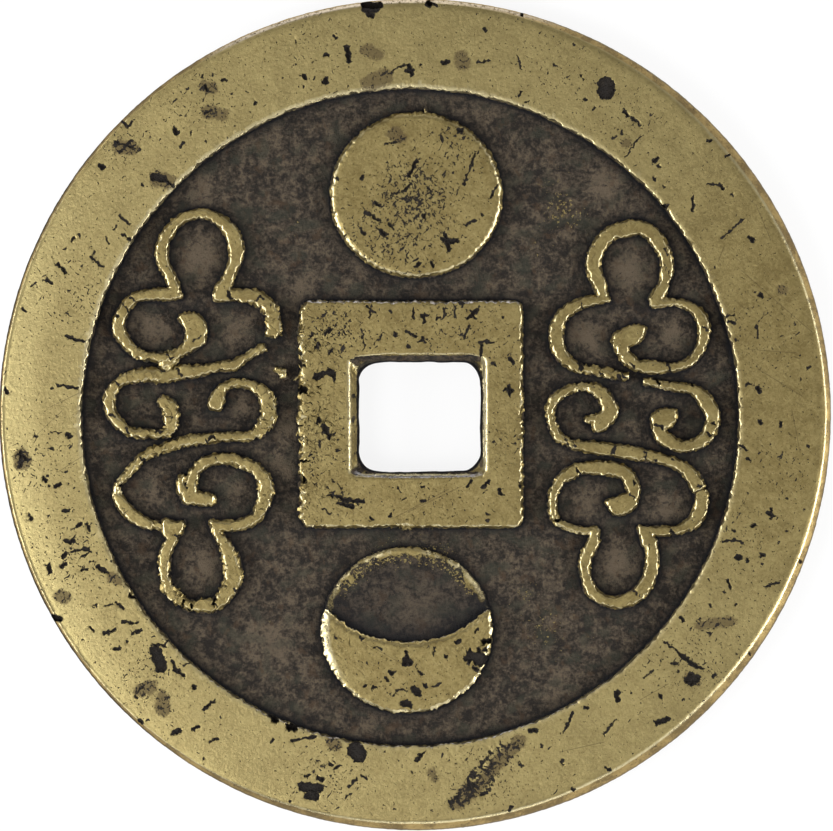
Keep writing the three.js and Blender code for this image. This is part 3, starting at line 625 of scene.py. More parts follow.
def hole_box():
    """Lowest and highest corner of the hole through the plate."""
    flat = solid_points("field_plate")
    return box_seen_from_above(flat[from_axis(flat) < RADIUS / 2])


def rim_opening(node, z):
    """Centre and radius of the circle where a rim's inner wall meets the field."""
    flat = solid_points(node)
    foot = (np.abs(flat[:, 2] - z) < LEVEL) & (from_axis(flat) < RADIUS - OUTER_PART)
    low, high = box_seen_from_above(flat[foot])
    return (low + high) / 2, float((high - low).mean() / 2)


def sides(coin, node, z):
    """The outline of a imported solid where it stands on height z, as closely spaced points."""
    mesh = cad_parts[node].data
    mesh.calc_loop_triangles()
    places, same = np.unique(np.round(solid_points(node), 3), axis=0, return_inverse=True)
    triangles = same.ravel()[numbers_of(mesh.loop_triangles, "vertices", kind=np.int32)]
    foot = triangles[(np.abs(places[triangles][:, :, 2] - z) < 0.003).all(1)]
    edges = np.sort(np.concatenate([foot[:, [0, 1]], foot[:, [1, 2]], foot[:, [2, 0]]]), axis=1)
    edges, times = np.unique(edges, axis=0, return_counts=True)
    found = []
    for start, end in places[edges[times == 1]]:
        number = max(2, int(np.linalg.norm(end - start) / coin.outline_step / MM) + 1)
        found.append(start + (end - start) * np.linspace(0, 1, number)[:, None])
    return np.concatenate(found)


def swell(piece):
    """Moves the walls of a piece outwards, most at the top, and not in the hole's mouth."""
    out = normals_of(piece)[:, :2]
    points = points_of(piece)
    rise = np.clip((points[:, 2] - points[:, 2].min()) / np.ptp(points[:, 2]), 0, 1)
    out = out / np.maximum(np.linalg.norm(out, axis=1), 0.2)[:, None]
    reach = SWELL_FOOT + (SWELL_TOP - SWELL_FOOT) * rise
    points[:, :2] += out * (reach * (1 - in_mouth(points)))[:, None]
    move_points(piece, points)


def round_over(piece, outline, foot, width):
    """Rounds a piece's upper edge in a band beside its outline."""
    points = points_of(piece)
    share = np.clip(distance_to(outline, points) / width, 0, 1)
    profile = 1 - EDGE_DROP * (1 - np.sqrt(1 - (1 - share) ** 2))
    height = points[:, 2] - foot
    points[:, 2] = np.where(height > 0, foot + height * profile, points[:, 2])
    move_points(piece, points)


def copy_of(node, name, voxel, smoothing, sunk=0.0, rounded=0.13):
    """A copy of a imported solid, rebuilt as an even skin of small faces and softened as by wear."""
    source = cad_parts[node]
    source.hide_set(False)
    only(source)
    bpy.ops.object.duplicate()
    piece = bpy.context.object
    for key in list(piece.keys()):
        del piece[key]
    piece.parent = None
    piece.name = piece.data.name = name
    piece.data.transform(Matrix.Scale(MM, 4))
    weld(piece)
    swell(piece)
    points = points_of(piece)
    points[:, 2] -= sunk * (points[:, 2] < FRONT_FIELD + LEVEL)
    move_points(piece, points)
    modified(piece, "REMESH", mode="VOXEL", voxel_size=voxel)
    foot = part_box(node)[0].z * MM
    round_over(piece, sides(bpy.context.scene.coin_shape, node, foot), foot, rounded)
    modified(piece, "SMOOTH", factor=0.5, iterations=smoothing)
    return piece


# Bodies made from a section or from loops


def loop_body(name, loops, cuts):
    """A closed body through loops that all have the same number of points. A circle is moved into the first
    loop and extruded into each of the others, back to the first. Then each band gets its cuts."""
    count = len(loops[0])
    piece = started(name, bpy.ops.mesh.primitive_circle_add, vertices=count, radius=1)
    move_points(piece, loops[0])
    place = np.arange(count)
    ring = np.zeros(count, int)
    for number, loop in enumerate([*loops[1:], loops[0]], 1):
        pick(piece, ring == number - 1)
        bpy.ops.mesh.extrude_region_move()
        done()
        points = points_of(piece)
        before = KDTree(count)
        for index in np.nonzero(ring == number - 1)[0]:
            before.insert(points[index], place[index])
        before.balance()
        added = [before.find(point)[1] for point in points[len(ring) :]]
        points[len(ring) :] = loop[added]
        place = np.append(place, added)
        ring = np.append(ring, [number] * len(added))
        move_points(piece, points)
    for number, cut in enumerate(cuts):
        if cut:
            home = np.append(ring, [-1] * len(piece.data.vertices))[edges_of(piece)]
            pick(piece, (home.min(1) == number) & (home.max(1) == number + 1), "EDGE")
            bpy.ops.mesh.subdivide(number_cuts=cut)
            done()
    weld(piece)
    outward(piece)
    return piece


def turned_rim(name, inner, low, high, wear, rows, steps):
    """A rim with its top at high: a plane for its section, its edges worn round, spun about the axis."""
    piece = started(name, bpy.ops.mesh.primitive_plane_add, size=1)
    corners = points_of(piece)
    section = np.zeros_like(corners)
    section[:, 0] = np.where(corners[:, 0] > 0, RADIUS, inner)
    section[:, 2] = np.where(corners[:, 1] > 0, high, low)
    move_points(piece, section)
    bevel_corners(piece, [(RADIUS, high)], wear, 1)
    bevel_corners(piece, [(RADIUS - wear, high), (RADIUS, high - wear)], wear * 0.35, CORNER_SEGMENTS)
    bevel_corners(piece, [(inner, high)], LIP_ROUND, CORNER_SEGMENTS)
    split_longest(piece, 2, high, rows)
    split_longest(piece, 0, inner, WALL_ROWS)
    edit(piece)
    bpy.ops.mesh.delete(type="ONLY_FACE")
    bpy.ops.mesh.select_all(action="SELECT")
    bpy.ops.mesh.spin(steps=steps, angle=2 * math.pi, center=(0, 0, 0), axis=(0, 0, 1), use_auto_merge=True)
    done()
    weld(piece, SPUN_WELD)
    outward(piece)
    return piece


def bevel_corners(piece, corners, width, segments):
    """Bevels the points of a section that lie at the given radii and heights."""
    points = points_of(piece)
    there = [np.abs(points[:, [0, 2]] - corner).max(1) < NEAR for corner in corners]
    pick(piece, np.any(there, axis=0))
    bpy.ops.mesh.bevel(offset=width, segments=segments, affect="VERTICES")
    done()


def split_longest(piece, axis, place, cuts):
    """Splits the longest edge of a section that lies along one radius (axis 0) or one height (axis 2)."""
    pairs = points_of(piece)[edges_of(piece)]
    there = (np.abs(pairs[:, :, axis] - place) < NEAR).all(1)
    length = np.linalg.norm(pairs[:, 1] - pairs[:, 0], axis=1) * there
    pick(piece, np.arange(len(length)) == length.argmax(), "EDGE")
    bpy.ops.mesh.subdivide(number_cuts=cuts)
    done()


def rays(count):
    """Unit vectors at even angles."""
    angles = 2 * math.pi * np.arange(count) / count
    return np.stack([np.cos(angles), np.sin(angles)], 1)


def rounded_square(low, high, corner, count):
    """count points round a rounded rectangle, each on the ray at an even angle."""
    size = high - low
    ray = rays(count)
    near, far = np.zeros(count), np.full(count, size.sum())
    for _ in range(30):
        middle = (near + far) / 2
        beyond = np.maximum(np.abs(ray * middle[:, None]) - (size / 2 - corner), 0)
        inside = np.linalg.norm(beyond, axis=1) < corner
        near, far = np.where(inside, middle, near), np.where(inside, far, middle)
    return ray * near[:, None] + (low + high) / 2


def round_loop(centre, radius, count):
    return rays(count) * radius + centre


def at_height(flat, z):
    return np.column_stack([flat, np.full(len(flat), z)])


# The shapes of wear


def from_hole(points):
    """Offset of each point from the hole's middle, seen from above, and half the hole's size."""
    low, high = hole_box()
    return points[:, :2] - (low + high) / 2, (high - low) / 2


def open_hole(points):
    """Moves the hole's walls to their worn outline: fuller at the middle of each side, a little wider."""
    offset, half = from_hole(points)
    share = step_between(0.9, 0.0, (np.abs(offset) - half).max(1))
    uneven = Grain(31, 0.9, 3)(at_height(points[:, :2], 0))
    points[:, :2] += offset * (share * uneven * 0.009)[:, None]
    points[:, 1] -= share * offset[:, 1] * 0.05 * np.clip(np.abs(offset[:, 0]) / half[0], 0, 1) ** 4
    points[:, 0] += share * WIDER_RIGHT * step_between(0, half[0], offset[:, 0])
    points[:, 1] -= share * WIDER_FOOT * step_between(0, half[1], -offset[:, 1])


def move_lips(points):
    """Moves the mouth's upper edge to where the photograph has it: in at the right, out at the top."""
    offset, half = from_hole(points)
    beyond = np.abs(offset) - half
    lip = step_between(0.15, 0.6, beyond) * step_between(1.3, 0.75, beyond)
    lip = lip * step_between(FRONT_FIELD, FRONT_FIELD + 0.4, points[:, 2])[:, None] * (offset > 0)
    points[:, 0] -= LIP_IN * lip[:, 0]
    points[:, 1] += LIP_OUT * lip[:, 1]


def in_mouth(points):
    """1 for points over the hole and its flared mouth, seen from above."""
    offset, half = from_hole(points)
    return step_between(MOUTH_END, MOUTH_WHOLE, (np.abs(offset) - half).max(1))


def wander(points, reach):
    """Moves points sideways by a ragged pattern, less at the coin's edge and more in the listed places."""
    reach = reach * (1 - CALMER_EDGE * step_between(RADIUS - 1, RADIUS - 0.6, from_axis(points)))
    reach = reach * (1 + STRONGER * spread(points, RAGGED)) * (1 - CALMER_MOUTH * in_mouth(points))
    for axis, seed in ((0, 21), (1, 22)):
        shift = Grain(seed, 0.3, 2)(points) * 0.5 + Grain(seed + 10, 1.1)(points) * 0.4
        points[:, axis] += reach * (shift + Grain(seed + 20, 0.16)(points) * 1.05)


def weather(piece, shape, upper_glint=0):
    """Ragged edges, pits sunk into the upper faces, and the stored marks that the material reads."""
    paint_slope(piece)
    points = points_of(piece)
    inner = from_axis(points) < RADIUS - OUTER_PART
    facing = step_between(0.6, 1, facing_up_photo(normals_of(piece)))
    # Painted highlight on walls that face +y, not on the rim's outer part and weaker in the hole's mouth
    paint(piece, "upper_glint", upper_glint * inner * facing * (1 - 0.4 * in_mouth(points)))
    high = step_between(FRONT_FIELD + PITS_FROM, THICKNESS - PITS_WHOLE, points[:, 2])
    above = points[:, 2] > FRONT_FIELD + MARKS_FROM
    pits = np.minimum(mark_distance(points, PITS), mark_distance(points, CRACKLE, 0.1))
    bites = mark_distance(points, BITES)
    stains = mark_distance(points, STAINS)
    speckled = Grain(41, 0.22, 2)(points) * 0.05
    wander(points, shape.ragged * MM)
    depth = shape.pit_depth * MM * step_between(-0.01, -0.14, pits + speckled)
    depth += RELIEF * step_between(0.03, -0.1, bites + speckled)
    lowest = np.minimum(points[:, 2], FRONT_FIELD + DEEPEST)
    points[:, 2] = np.maximum(points[:, 2] - high * depth, lowest)
    points[:, 2] += high * UNEVEN_TOPS * Grain(42, 3.0, 2)(points)
    move_points(piece, points)
    paint(piece, "scar", np.clip(0.5 - np.minimum(pits, bites) / 0.24, 0, 1) * above)
    paint(piece, "stain", np.clip(0.66 - stains / 0.7, 0, 1) * above)
    paint(piece, "pitting", spread(points, PITTING))


def shape_edge(piece, wear):
    """Gives the worn band along the upper outer edge its own width in each direction."""
    points = points_of(piece)
    away = from_axis(points)
    turn = np.degrees(np.arctan2(points[:, 1], points[:, 0])) % 360
    scale = np.interp(turn, list(EDGE_BAND), list(EDGE_BAND.values())) / wear
    across, down = RADIUS - away, THICKNESS - points[:, 2]

    def stretched(distance, reach):
        rest = (distance - wear) * (reach - wear * scale) / (reach - wear)
        return np.where(distance < wear, distance * scale, wear * scale + rest)

    near = (across < 3 * wear) & (down < RELIEF)
    moved = np.where(near, stretched(across, 3 * wear), across)
    points[:, :2] *= ((RADIUS - moved) / away)[:, None]
    points[:, 2] = np.where(near & (across < wear), THICKNESS - stretched(down, RELIEF), points[:, 2])
    move_points(piece, points)


def lean_and_shift(piece, centre, radius, foot, up):
    """Leans a rim's inner wall outwards as it rises, and moves the opening off the coin's centre."""
    points = points_of(piece)
    away = from_axis(points)
    share = np.clip((RADIUS - away) / (RADIUS - radius), 0, 1)
    rise = np.clip((points[:, 2] - foot) * up / RELIEF, 0, 1)
    wall = step_between(radius + 0.6, radius, away)
    out = points[:, :2] / away[:, None]
    points[:, :2] += out * (RIM_LEAN * rise * wall)[:, None] + share[:, None] * centre
    move_points(piece, points)


def on_field(points):
    return (points[:, 2] > FRONT_FIELD - LEVEL) | (points[:, 2] < BACK_FIELD + LEVEL)


def grime_and_shade_on_plate(shape, points, front):
    """How much dirt and painted shade each point of the plate holds, and how far it is from the nearest wall.
    """
    standing = [*CLOUDS, "sun_disc", "moon_dish", "front_hole_collar"]
    feet = np.concatenate([sides(shape, node, FRONT_FIELD) for node in standing])
    away = np.abs(front[1] - np.linalg.norm(points[:, :2] - front[0], axis=1))
    on_top = points[:, 2] > FRONT_FIELD - LEVEL
    away[on_top] = np.minimum(away[on_top], distance_to(feet, points[on_top]))
    level = on_field(points)
    # Darkening against the foot of each wall: partly dirt, partly painted shade cast by the relief
    grime_and_shade = 0.5 * np.exp(-((away / 0.55) ** 1.5)) + 0.7 * np.exp(-((away / 0.2) ** 2))
    return np.where(level, grime_and_shade, 0.6), np.where(level, away, FAR_AWAY)


# Materials


class Link:
    """A socket that takes part in Python arithmetic, which adds the Math nodes."""

    def __init__(self, maker, socket):
        self.maker = maker
        self.socket = socket

    def _math(self, operation, *values):
        return self.maker.node("ShaderNodeMath", {"operation": operation}, dict(enumerate(values)))

    def __add__(self, other):
        return self._math("ADD", self, other)

    __radd__ = __add__

    def __sub__(self, other):
        return self._math("SUBTRACT", self, other)

    def __rsub__(self, other):
        return self._math("SUBTRACT", other, self)

    def __mul__(self, other):
        return self._math("MULTIPLY", self, other)

    __rmul__ = __mul__

    def __abs__(self):
        return self._math("ABSOLUTE", self)

    def __or__(self, other):
        """The larger of the two: one mask or the other."""
        return self._math("MAXIMUM", self, other)

    def __and__(self, other):
        """The smaller of the two: both masks, or a limit."""
        return self._math("MINIMUM", self, other)


class Maker:
    """Adds nodes to one node tree."""

    def __init__(self, tree):
        self.tree = tree
        tree.nodes.clear()

    def node(self, kind, settings=None, inputs=None, output=0):
        node = self.tree.nodes.new(kind)
        for name, value in (settings or {}).items():
            setattr(node, name, value)
        for name, value in (inputs or {}).items():
            socket = node.inputs[name]
            if isinstance(value, Link):
                self.tree.links.new(value.socket, socket)
            else:
                socket.default_value = (*value, 1) if socket.type == "RGBA" else value
        return Link(self, node.outputs[output]) if len(node.outputs) else None

    def also(self, link, output):
        """Another output of the node that a link comes from."""
        return Link(self, link.socket.node.outputs[output])

    def rise(self, value, low, high):
        """0 below low, 1 above high, and a smooth rise between. Low may be the larger one."""
        inputs = {"Value": value, "From Min": low, "From Max": high}
        if low > high:
            inputs.update({"From Min": high, "From Max": low, "To Min": 1, "To Max": 0})
        return self.node("ShaderNodeMapRange", {"interpolation_type": "SMOOTHSTEP"}, inputs)

    def noise(self, place, scale, detail=2.0, roughness=0.5, warp=0.0):
        inputs = {"Vector": place, "Scale": scale, "Detail": detail, "Roughness": roughness}
        return self.node("ShaderNodeTexNoise", {}, {**inputs, "Distortion": warp})

    def stored(self, name):
        """A number painted on the mesh."""
        return self.node("ShaderNodeAttribute", {"attribute_name": name}, {}, output=2)

    def dot(self, place, way):
        return self.node("ShaderNodeVectorMath", {"operation": "DOT_PRODUCT"}, {0: place, 1: way}, output=1)

    def blend(self, share, first, second):
        inputs = {0: share, 6: first, 7: second}
        return self.node("ShaderNodeMix", {"data_type": "RGBA"}, inputs, output=2)

    def turned(self, place, angle, stretch):
        """place turned about the coin's axis and stretched along the new first axis."""
        inputs = {"Vector": place, "Rotation": (0, 0, angle), "Scale": (stretch, 1, 1)}
        return self.node("ShaderNodeMapping", {"vector_type": "TEXTURE"}, inputs)


def new_material(name):
    material = bpy.data.materials.new(name)
    material.use_nodes = True
    return material, Maker(material.node_tree)


def coin_places(maker):
    """Object coordinates in millimetres, height above the nearer field, and distance from the axis."""
    local = maker.node("ShaderNodeTexCoord", {}, {}, output=3)
    place = maker.node("ShaderNodeVectorMath", {"operation": "SCALE"}, {0: local, 3: MM})
    x = maker.node("ShaderNodeSeparateXYZ", {}, {0: place})
    flat = maker.node("ShaderNodeCombineXYZ", {}, {0: x, 1: maker.also(x, 1)})
    middle = (FRONT_FIELD + BACK_FIELD) / 2
    height = abs(maker.also(x, 2) - middle) - (FRONT_FIELD - middle)
    return place, height, maker.node("ShaderNodeVectorMath", {"operation": "LENGTH"}, {0: flat}, output=1)


def near_edge(maker, outwards, start, full):
    """0 further than start inside the coin's outer edge, and 1 nearer to it than full, in millimetres."""
    return maker.rise(outwards, RADIUS - start, RADIUS - full)


def bronze(slot):
    """The cast bronze of the whole coin. Rubbed brass and dark skin share one recipe, in which height above
    the field and the painted numbers decide which of them shows."""
    known = bpy.data.materials.get("cast_" + slot)
    if known:
        return known
    look = bpy.context.scene.coin_finish
    material, maker = new_material("cast_" + slot)
    place, height, outwards = coin_places(maker)
    cloudy = maker.noise(place, 0.7, 4.0, 0.62)
    grainy = maker.noise(place, 5.0, 5.0, 0.72)
    dents = maker.noise(place, 2.8, 3.0, 0.6)
    slope = maker.stored("slope")
    pits, stains = marks(maker, place, grainy, cloudy)
    rubbed = brass_shows(maker, place, height, outwards, grainy, cloudy) * (1 - pits)
    steep = maker.rise(slope, 0.2, 0.3)
    # Paler worn edges, partly polish and partly painted highlight, weaker where they face +y; the painted
    # glints join them
    edge = maker.rise(slope, 0.025, 0.12) * (1 - steep) * (1 - maker.stored("upward") * 0.8) * rubbed
    edge = edge | maker.stored("glint") * rubbed
    colour = rubbed_brass(maker, look, place, cloudy, grainy)
    # Painted sheen on the rim, in the colour of fresh scratches
    colour = maker.blend(maker.stored("sheen") * (0.3 + grainy * 0.6), colour, look.brass_scratch_and_sheen)
    colour = maker.blend(edge * 0.8, colour, look.brass_edge_and_highlight)
    colour = outer_edge(maker, look, colour, outwards, slope, cloudy, grainy)
    scratch = maker.rise(scratches(maker, place), 0.035, 0.01)
    colour = maker.blend(scratch * 0.6, colour, look.stain)
    colour = maker.blend(stains * 0.75, colour, look.stain)
    colour = maker.blend(1 - rubbed, colour, dark_skin(maker, look, place, cloudy, grainy))
    # Painted whitish highlight on steep upper walls that face +y
    upper_glint = steep * maker.rise(slope, 0.75, 0.6) * maker.rise(height, 0.36, 0.46) * maker.stored("upper_glint")
    colour = maker.blend(upper_glint * maker.rise(grainy, 0.4, 0.56) * 0.8, colour, look.edge_glint_white)
    colour = maker.blend(pits * (0.5 + dents * 0.85) & 1.0, colour, look.pit)
    bare = 1 - rubbed
    rough = rubbed * (0.26 + cloudy * 0.14 + grainy * 0.14 + stains * 0.2 - edge * 0.12)
    rough = rough + bare * (0.34 + grainy * 0.5)
    relief = pits * -0.07 + grainy * 0.28 * bare + grainy * 0.022 + cloudy * 0.1 * bare + dents * 0.025
    bump = maker.node("ShaderNodeBump", {}, {"Strength": 1.0, "Distance": 1 / MM, "Height": relief})
    inputs = {"Base Color": colour, "Metallic": rubbed * 0.92 + 0.04, "Roughness": rough, "Normal": bump}
    shader = maker.node("ShaderNodeBsdfPrincipled", {}, {**inputs, "Specular IOR Level": 0.2})
    maker.node("ShaderNodeOutputMaterial", {}, {"Surface": shader})
    return material


def brass_shows(maker, place, height, outwards, grainy, cloudy):
    """1 where the brass is rubbed clear: high up, on the coin's side, and in specks of the worn field."""
    raised = maker.rise(height + (grainy - 0.5) * 0.3, 0.28, 0.42) | maker.stored("worn")
    side = near_edge(maker, outwards + (cloudy - 0.5) * 0.6, 1.1, 0.7)
    # The dish's dark patina, and the painted shade in the hole's mouth, hide the brass
    patina_and_shade = maker.rise(maker.stored("patina_and_shade") + (grainy - 0.5) * 1.3, 0.35, 0.6)
    speck = maker.stored("speck")
    dots = maker.noise(place, 5.5, 2.0, 0.75)
    specks = maker.rise(dots + speck * 0.2, 0.74, 0.8) * maker.rise(speck, 0.05, 0.2)
    return (raised | side) * (1 - patina_and_shade) | specks


def rubbed_brass(maker, look, place, cloudy, grainy):
    """Brass polished by handling: cloudy in tone, with faint straight scratches."""
    mottled = maker.noise(place, 2.2, 3.0, 0.6)
    tone = maker.rise(cloudy * 0.3 + grainy * 0.4 + mottled * 0.3, 0.4, 0.6)
    colour = maker.blend(tone, look.brass_deep, look.brass)
    for angle, scale in ((0.75, 12.0), (-0.9, 10.0), (0.2, 11.0)):
        streaks = maker.noise(maker.turned(place, angle, 11.0), scale, 1.0, 0.6)
        colour = maker.blend(maker.rise(streaks, 0.6, 0.8) * 0.3, colour, look.brass_scratch_and_sheen)
    for angle, scale in ((-0.7, 9.0), (1.15, 12.0)):
        streaks = maker.noise(maker.turned(place, angle, 13.0), scale, 1.0, 0.6)
        colour = maker.blend(maker.rise(streaks, 0.62, 0.8) * 0.35, colour, look.stain)
    return colour


def outer_edge(maker, look, colour, outwards, slope, cloudy, grainy):
    """Lays the browner brass of the coin's side, its crust and its dark outline over a colour."""
    bevelled = near_edge(maker, outwards, 0.9, 0.8) * maker.rise(slope, 0.16, 0.26)
    tone = maker.rise(cloudy * 0.6 + grainy * 0.4, 0.42, 0.6)
    side_colour = maker.blend(tone, look.side_deep, look.brass_side)
    colour = maker.blend((bevelled | near_edge(maker, outwards, 0.14, 0.1)) * 0.9, colour, side_colour)
    crust = maker.stored("crust")
    colour = maker.blend(crust * maker.rise(grainy + cloudy * 0.4, 0.5, 0.7), colour, look.crust)
    colour = maker.blend(crust * maker.rise(grainy, 0.5, 0.38) * 0.8, colour, look.stain)
    outline = near_edge(maker, outwards, 0.12, 0.05)
    colour = maker.blend(outline * 0.6, colour, look.stain)
    return maker.blend(outline * crust * 0.8, colour, look.brass_side)


def scratches(maker, place):
    """How far, in millimetres, each place of the decorated side lies from the nearest listed scratch."""
    nearest = FAR_AWAY
    for x1, y1, x2, y2 in SCRATCHES:
        start, end = Vector(from_photo(x1, y1)), Vector(from_photo(x2, y2))
        middle, along = (start + end) / 2, (end - start).normalized()
        across = Vector((-along.y, along.x))
        beside = abs(maker.dot(place, (*across, 0)) - middle.dot(across))
        beyond = abs(maker.dot(place, (*along, 0)) - middle.dot(along)) - (end - start).length / 2
        nearest = (beside | beyond) & nearest
    return nearest | FRONT_FIELD - maker.dot(place, (0, 0, 1))


def dark_skin(maker, look, place, cloudy, grainy):
    """The field's brown skin, mottled, and almost black against the relief, from dirt and painted shade
    there.
    """
    pale = maker.stored("pale")
    mottled = maker.noise(place, 1.7, 4.0, 0.62, 0.4)
    tone = maker.rise(mottled * 0.45 + grainy * 0.42 + cloudy * 0.13 + pale * 0.17, 0.43, 0.63)
    colour = maker.blend(tone, look.patina, look.patina_pale)
    green = maker.rise(maker.noise(maker.turned(place, 0.4, 1.3), 0.8, 3.0), 0.5, 0.66) * 0.6
    colour = maker.blend(green * (1 - pale), colour, look.patina_green)
    rust = maker.rise(maker.noise(maker.turned(place, 1.9, 1.2), 1.2, 3.0, 0.6), 0.56, 0.7) * 0.55
    colour = maker.blend(rust, colour, look.patina_rust)
    # Near-black against the relief's foot: dirt and painted shade
    grime_and_shade = maker.stored("grime_and_shade") * (0.3 + cloudy * 0.8 + grainy * 0.6) & 1.0
    return maker.blend(grime_and_shade, colour, look.grime_and_shade)


def marks(maker, place, grainy, cloudy):
    """Pits, both the painted ones with ragged edges and a scatter of fine ones, and the stains."""
    scar = maker.stored("scar")
    stain = maker.stored("stain")
    stored = maker.rise(scar + (grainy - 0.5) * 1.2, 0.4, 0.58) * maker.rise(scar, 0.1, 0.3)
    stains = maker.rise(stain + (grainy - 0.5) * 1.1 + (cloudy - 0.5) * 0.9, 0.34, 0.66)
    stains = stains * maker.rise(stain, 0.02, 0.2)
    level = 0.69 - (maker.stored("pitting") + stains * 0.55) * 0.13
    long = maker.noise(maker.turned(place, 0.9, 1.9), 3.6, 3.0, 0.62, 0.5)
    small = maker.noise(maker.turned(place, 2.4, 1.4), 7.0, 2.0, 0.6)
    return stored | maker.rise(long - level, 0.0, 0.03) | maker.rise(small - level, 0.0, 0.04), stains


# Settings


def metres(name, description, default, low=0.0):
    return bpy.props.FloatProperty(
        name=name, description=description, default=default, min=low, unit="LENGTH")


def whole(name, description, default, low):
    return bpy.props.IntProperty(name=name, description=description, default=default, min=low)


def brightness(name, description, default, **more):
    return bpy.props.FloatProperty(name=name, description=description, default=default, min=0.0, **more)


def tint(name, description, default):
    return bpy.props.FloatVectorProperty(
        name=name, description=description, default=default, subtype="COLOR", min=0.0, max=1.0)


class CoinShape(bpy.types.PropertyGroup):
    relief_voxel: metres("Relief fineness", "Size of the small faces on clouds and discs", 0.00006, 0.00003)
    collar_voxel: metres("Collar fineness", "Size of the small faces on the collars", 0.00008, 0.00003)
    outline_step: metres("Outline step", "Distance between points along the relief's foot", 0.00006, 0.00001)
    ragged: metres("Ragged edges", "How far the edges of the relief wander", 0.00009)
    uneven: metres("Uneven field", "How far the cast field rises and sinks", 0.00004)
    rim_wear: metres("Rim wear", "Radius of the rim's worn outer edge", 0.00062, 0.0001)
    pit_depth: metres("Pit depth", "Depth of the larger pits", 0.00016)
    rim_rows: whole("Rim rows", "Rows of faces across a rim", 18, 4)
    rim_steps: whole("Rim steps", "Faces round a rim", 1200, 64)
    field_rows: whole("Field rows", "Rows of faces from the collar to the rim", 70, 4)
    field_steps: whole("Field steps", "Faces round the field", 640, 64)


class CoinFinish(bpy.types.PropertyGroup):
    brass: tint("Brass", "Rubbed brass", (0.295, 0.234, 0.096))
    brass_deep: tint("Deep brass", "Rubbed brass in its darker clouds", (0.205, 0.155, 0.06))
    # Fresh scratches, and the rim's painted sheen
    brass_scratch_and_sheen: tint("Scratched brass", "Fresh scratches in the brass", (0.43, 0.36, 0.165))
    # Worn edges, and the painted highlights along edges
    brass_edge_and_highlight: tint("Edge brass", "Brass along worn edges", (0.62, 0.54, 0.32))
    # Painted whitish highlight on walls that face +y
    edge_glint_white: tint("Scoured edge", "Whitish scoured metal on walls that face up", (0.85, 0.82, 0.84))
    crust: tint("Crust", "Grey cast skin left on the outer edge", (0.66, 0.56, 0.42))
    brass_side: tint("Side brass", "The coin's outer edge, browner than its face", (0.42, 0.3, 0.12))
    side_deep: tint("Side shade", "The coin's outer edge in its darker patches", (0.2, 0.14, 0.06))
    patina: tint("Dark skin", "The field in its darker mottles", (0.013, 0.0098, 0.0072))
    patina_pale: tint("Brown skin", "The field in its paler mottles", (0.108, 0.082, 0.054))
    patina_green: tint("Green skin", "The field where its skin has a green cast", (0.034, 0.035, 0.023))
    patina_rust: tint("Rust skin", "The field where its skin is warmest", (0.062, 0.036, 0.018))
    # Colour of the dirt and painted shade against the foot of the relief
    grime_and_shade: tint("Grime", "Dirt against the foot of the relief", (0.004, 0.004, 0.006))
    pit: tint("Pit", "The inside of pits and cracks", (0.014, 0.011, 0.009))
    stain: tint("Stain", "Brown stains on the brass", (0.09, 0.066, 0.035))


class CoinStage(bpy.types.PropertyGroup):
    floor: tint("Floor", "The pale ground the coin lies on", (0.9, 0.9, 0.9))
    floor_glow: brightness(
        "Floor whiteness", "How much of the floor's white doesn't depend on the lamps", 0.85,
        max=1.0, subtype="FACTOR")
    ambient: brightness("Ambient light", "Brightness of the light from all round", 0.55)
    mirrored: brightness("Mirrored light", "Brightness of the surroundings in reflections", 0.42)
    distance: metres("Camera distance", "From the camera to the coin's face", 0.5, 0.1)


# Operators


class COIN_OT_field(bpy.types.Operator):
    """Build the plate between the rims: both fields, the coin's edge and the walls of the hole"""

    bl_idname = "coin.field"
    bl_label = "Field plate"

    def execute(self, context):
        shape = context.scene.coin_shape
        front = rim_opening("front_rim", FRONT_FIELD)
        loops = self.loops(shape.field_steps, front, rim_opening("back_rim", BACK_FIELD))
        rows = shape.field_rows
        piece = loop_body("cast_field", loops, [0, rows, 0, EDGE_ROWS, 0, rows // 3, 0, HOLE_ROWS])
        points = points_of(piece)
        grime_and_shade, away = grime_and_shade_on_plate(shape, points, front)
        rough = Grain(11, 1.7, 3)(points) + 0.4 * Grain(12, 0.4)(points)
        rough = rough * shape.uneven * MM * step_between(0, 0.5, away)
        slope = np.exp(-away / SLOPE_WIDTH) * SLOPE_HEIGHT
        in_front = points[:, 2] > THICKNESS / 2
        points[:, 2] += np.where(in_front, 1, -1) * on_field(points) * (rough + slope)
        move_points(piece, points)
        # Stores the dirt and painted shade against the walls
        paint(piece, "grime_and_shade", grime_and_shade)
        paint(piece, "speck", spread(points, SPECKS) * in_front)
        paint(piece, "pale", spread(points, PALE) * in_front)
        finished(piece, "dark_patina", ["field_plate"])
        return {"FINISHED"}

    def loops(self, count, front, back):
        """The plate's loops: from the hole out over the front field, and over the back field in again."""
        hole = rounded_square(*hole_box(), HOLE_CORNER, count)
        open_hole(hole)
        edge = round_loop((0, 0), RADIUS - EDGE_INSET, count)
        found = []
        for collar, z, centre, radius in (
            ("front_hole_collar", FRONT_FIELD, *front),
            ("back_hole_collar", BACK_FIELD, *back),
        ):
            low, high = [np.array(corner[:2]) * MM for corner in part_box(collar)]
            foot = rounded_square(low + UNDER_WALL, high - UNDER_WALL, FOOT_CORNER, count)
            rim = round_loop(centre, radius + UNDER_WALL, count)
            found.append([at_height(flat, z) for flat in (hole, foot, rim, edge)])
        return [*found[0], *reversed(found[1])]


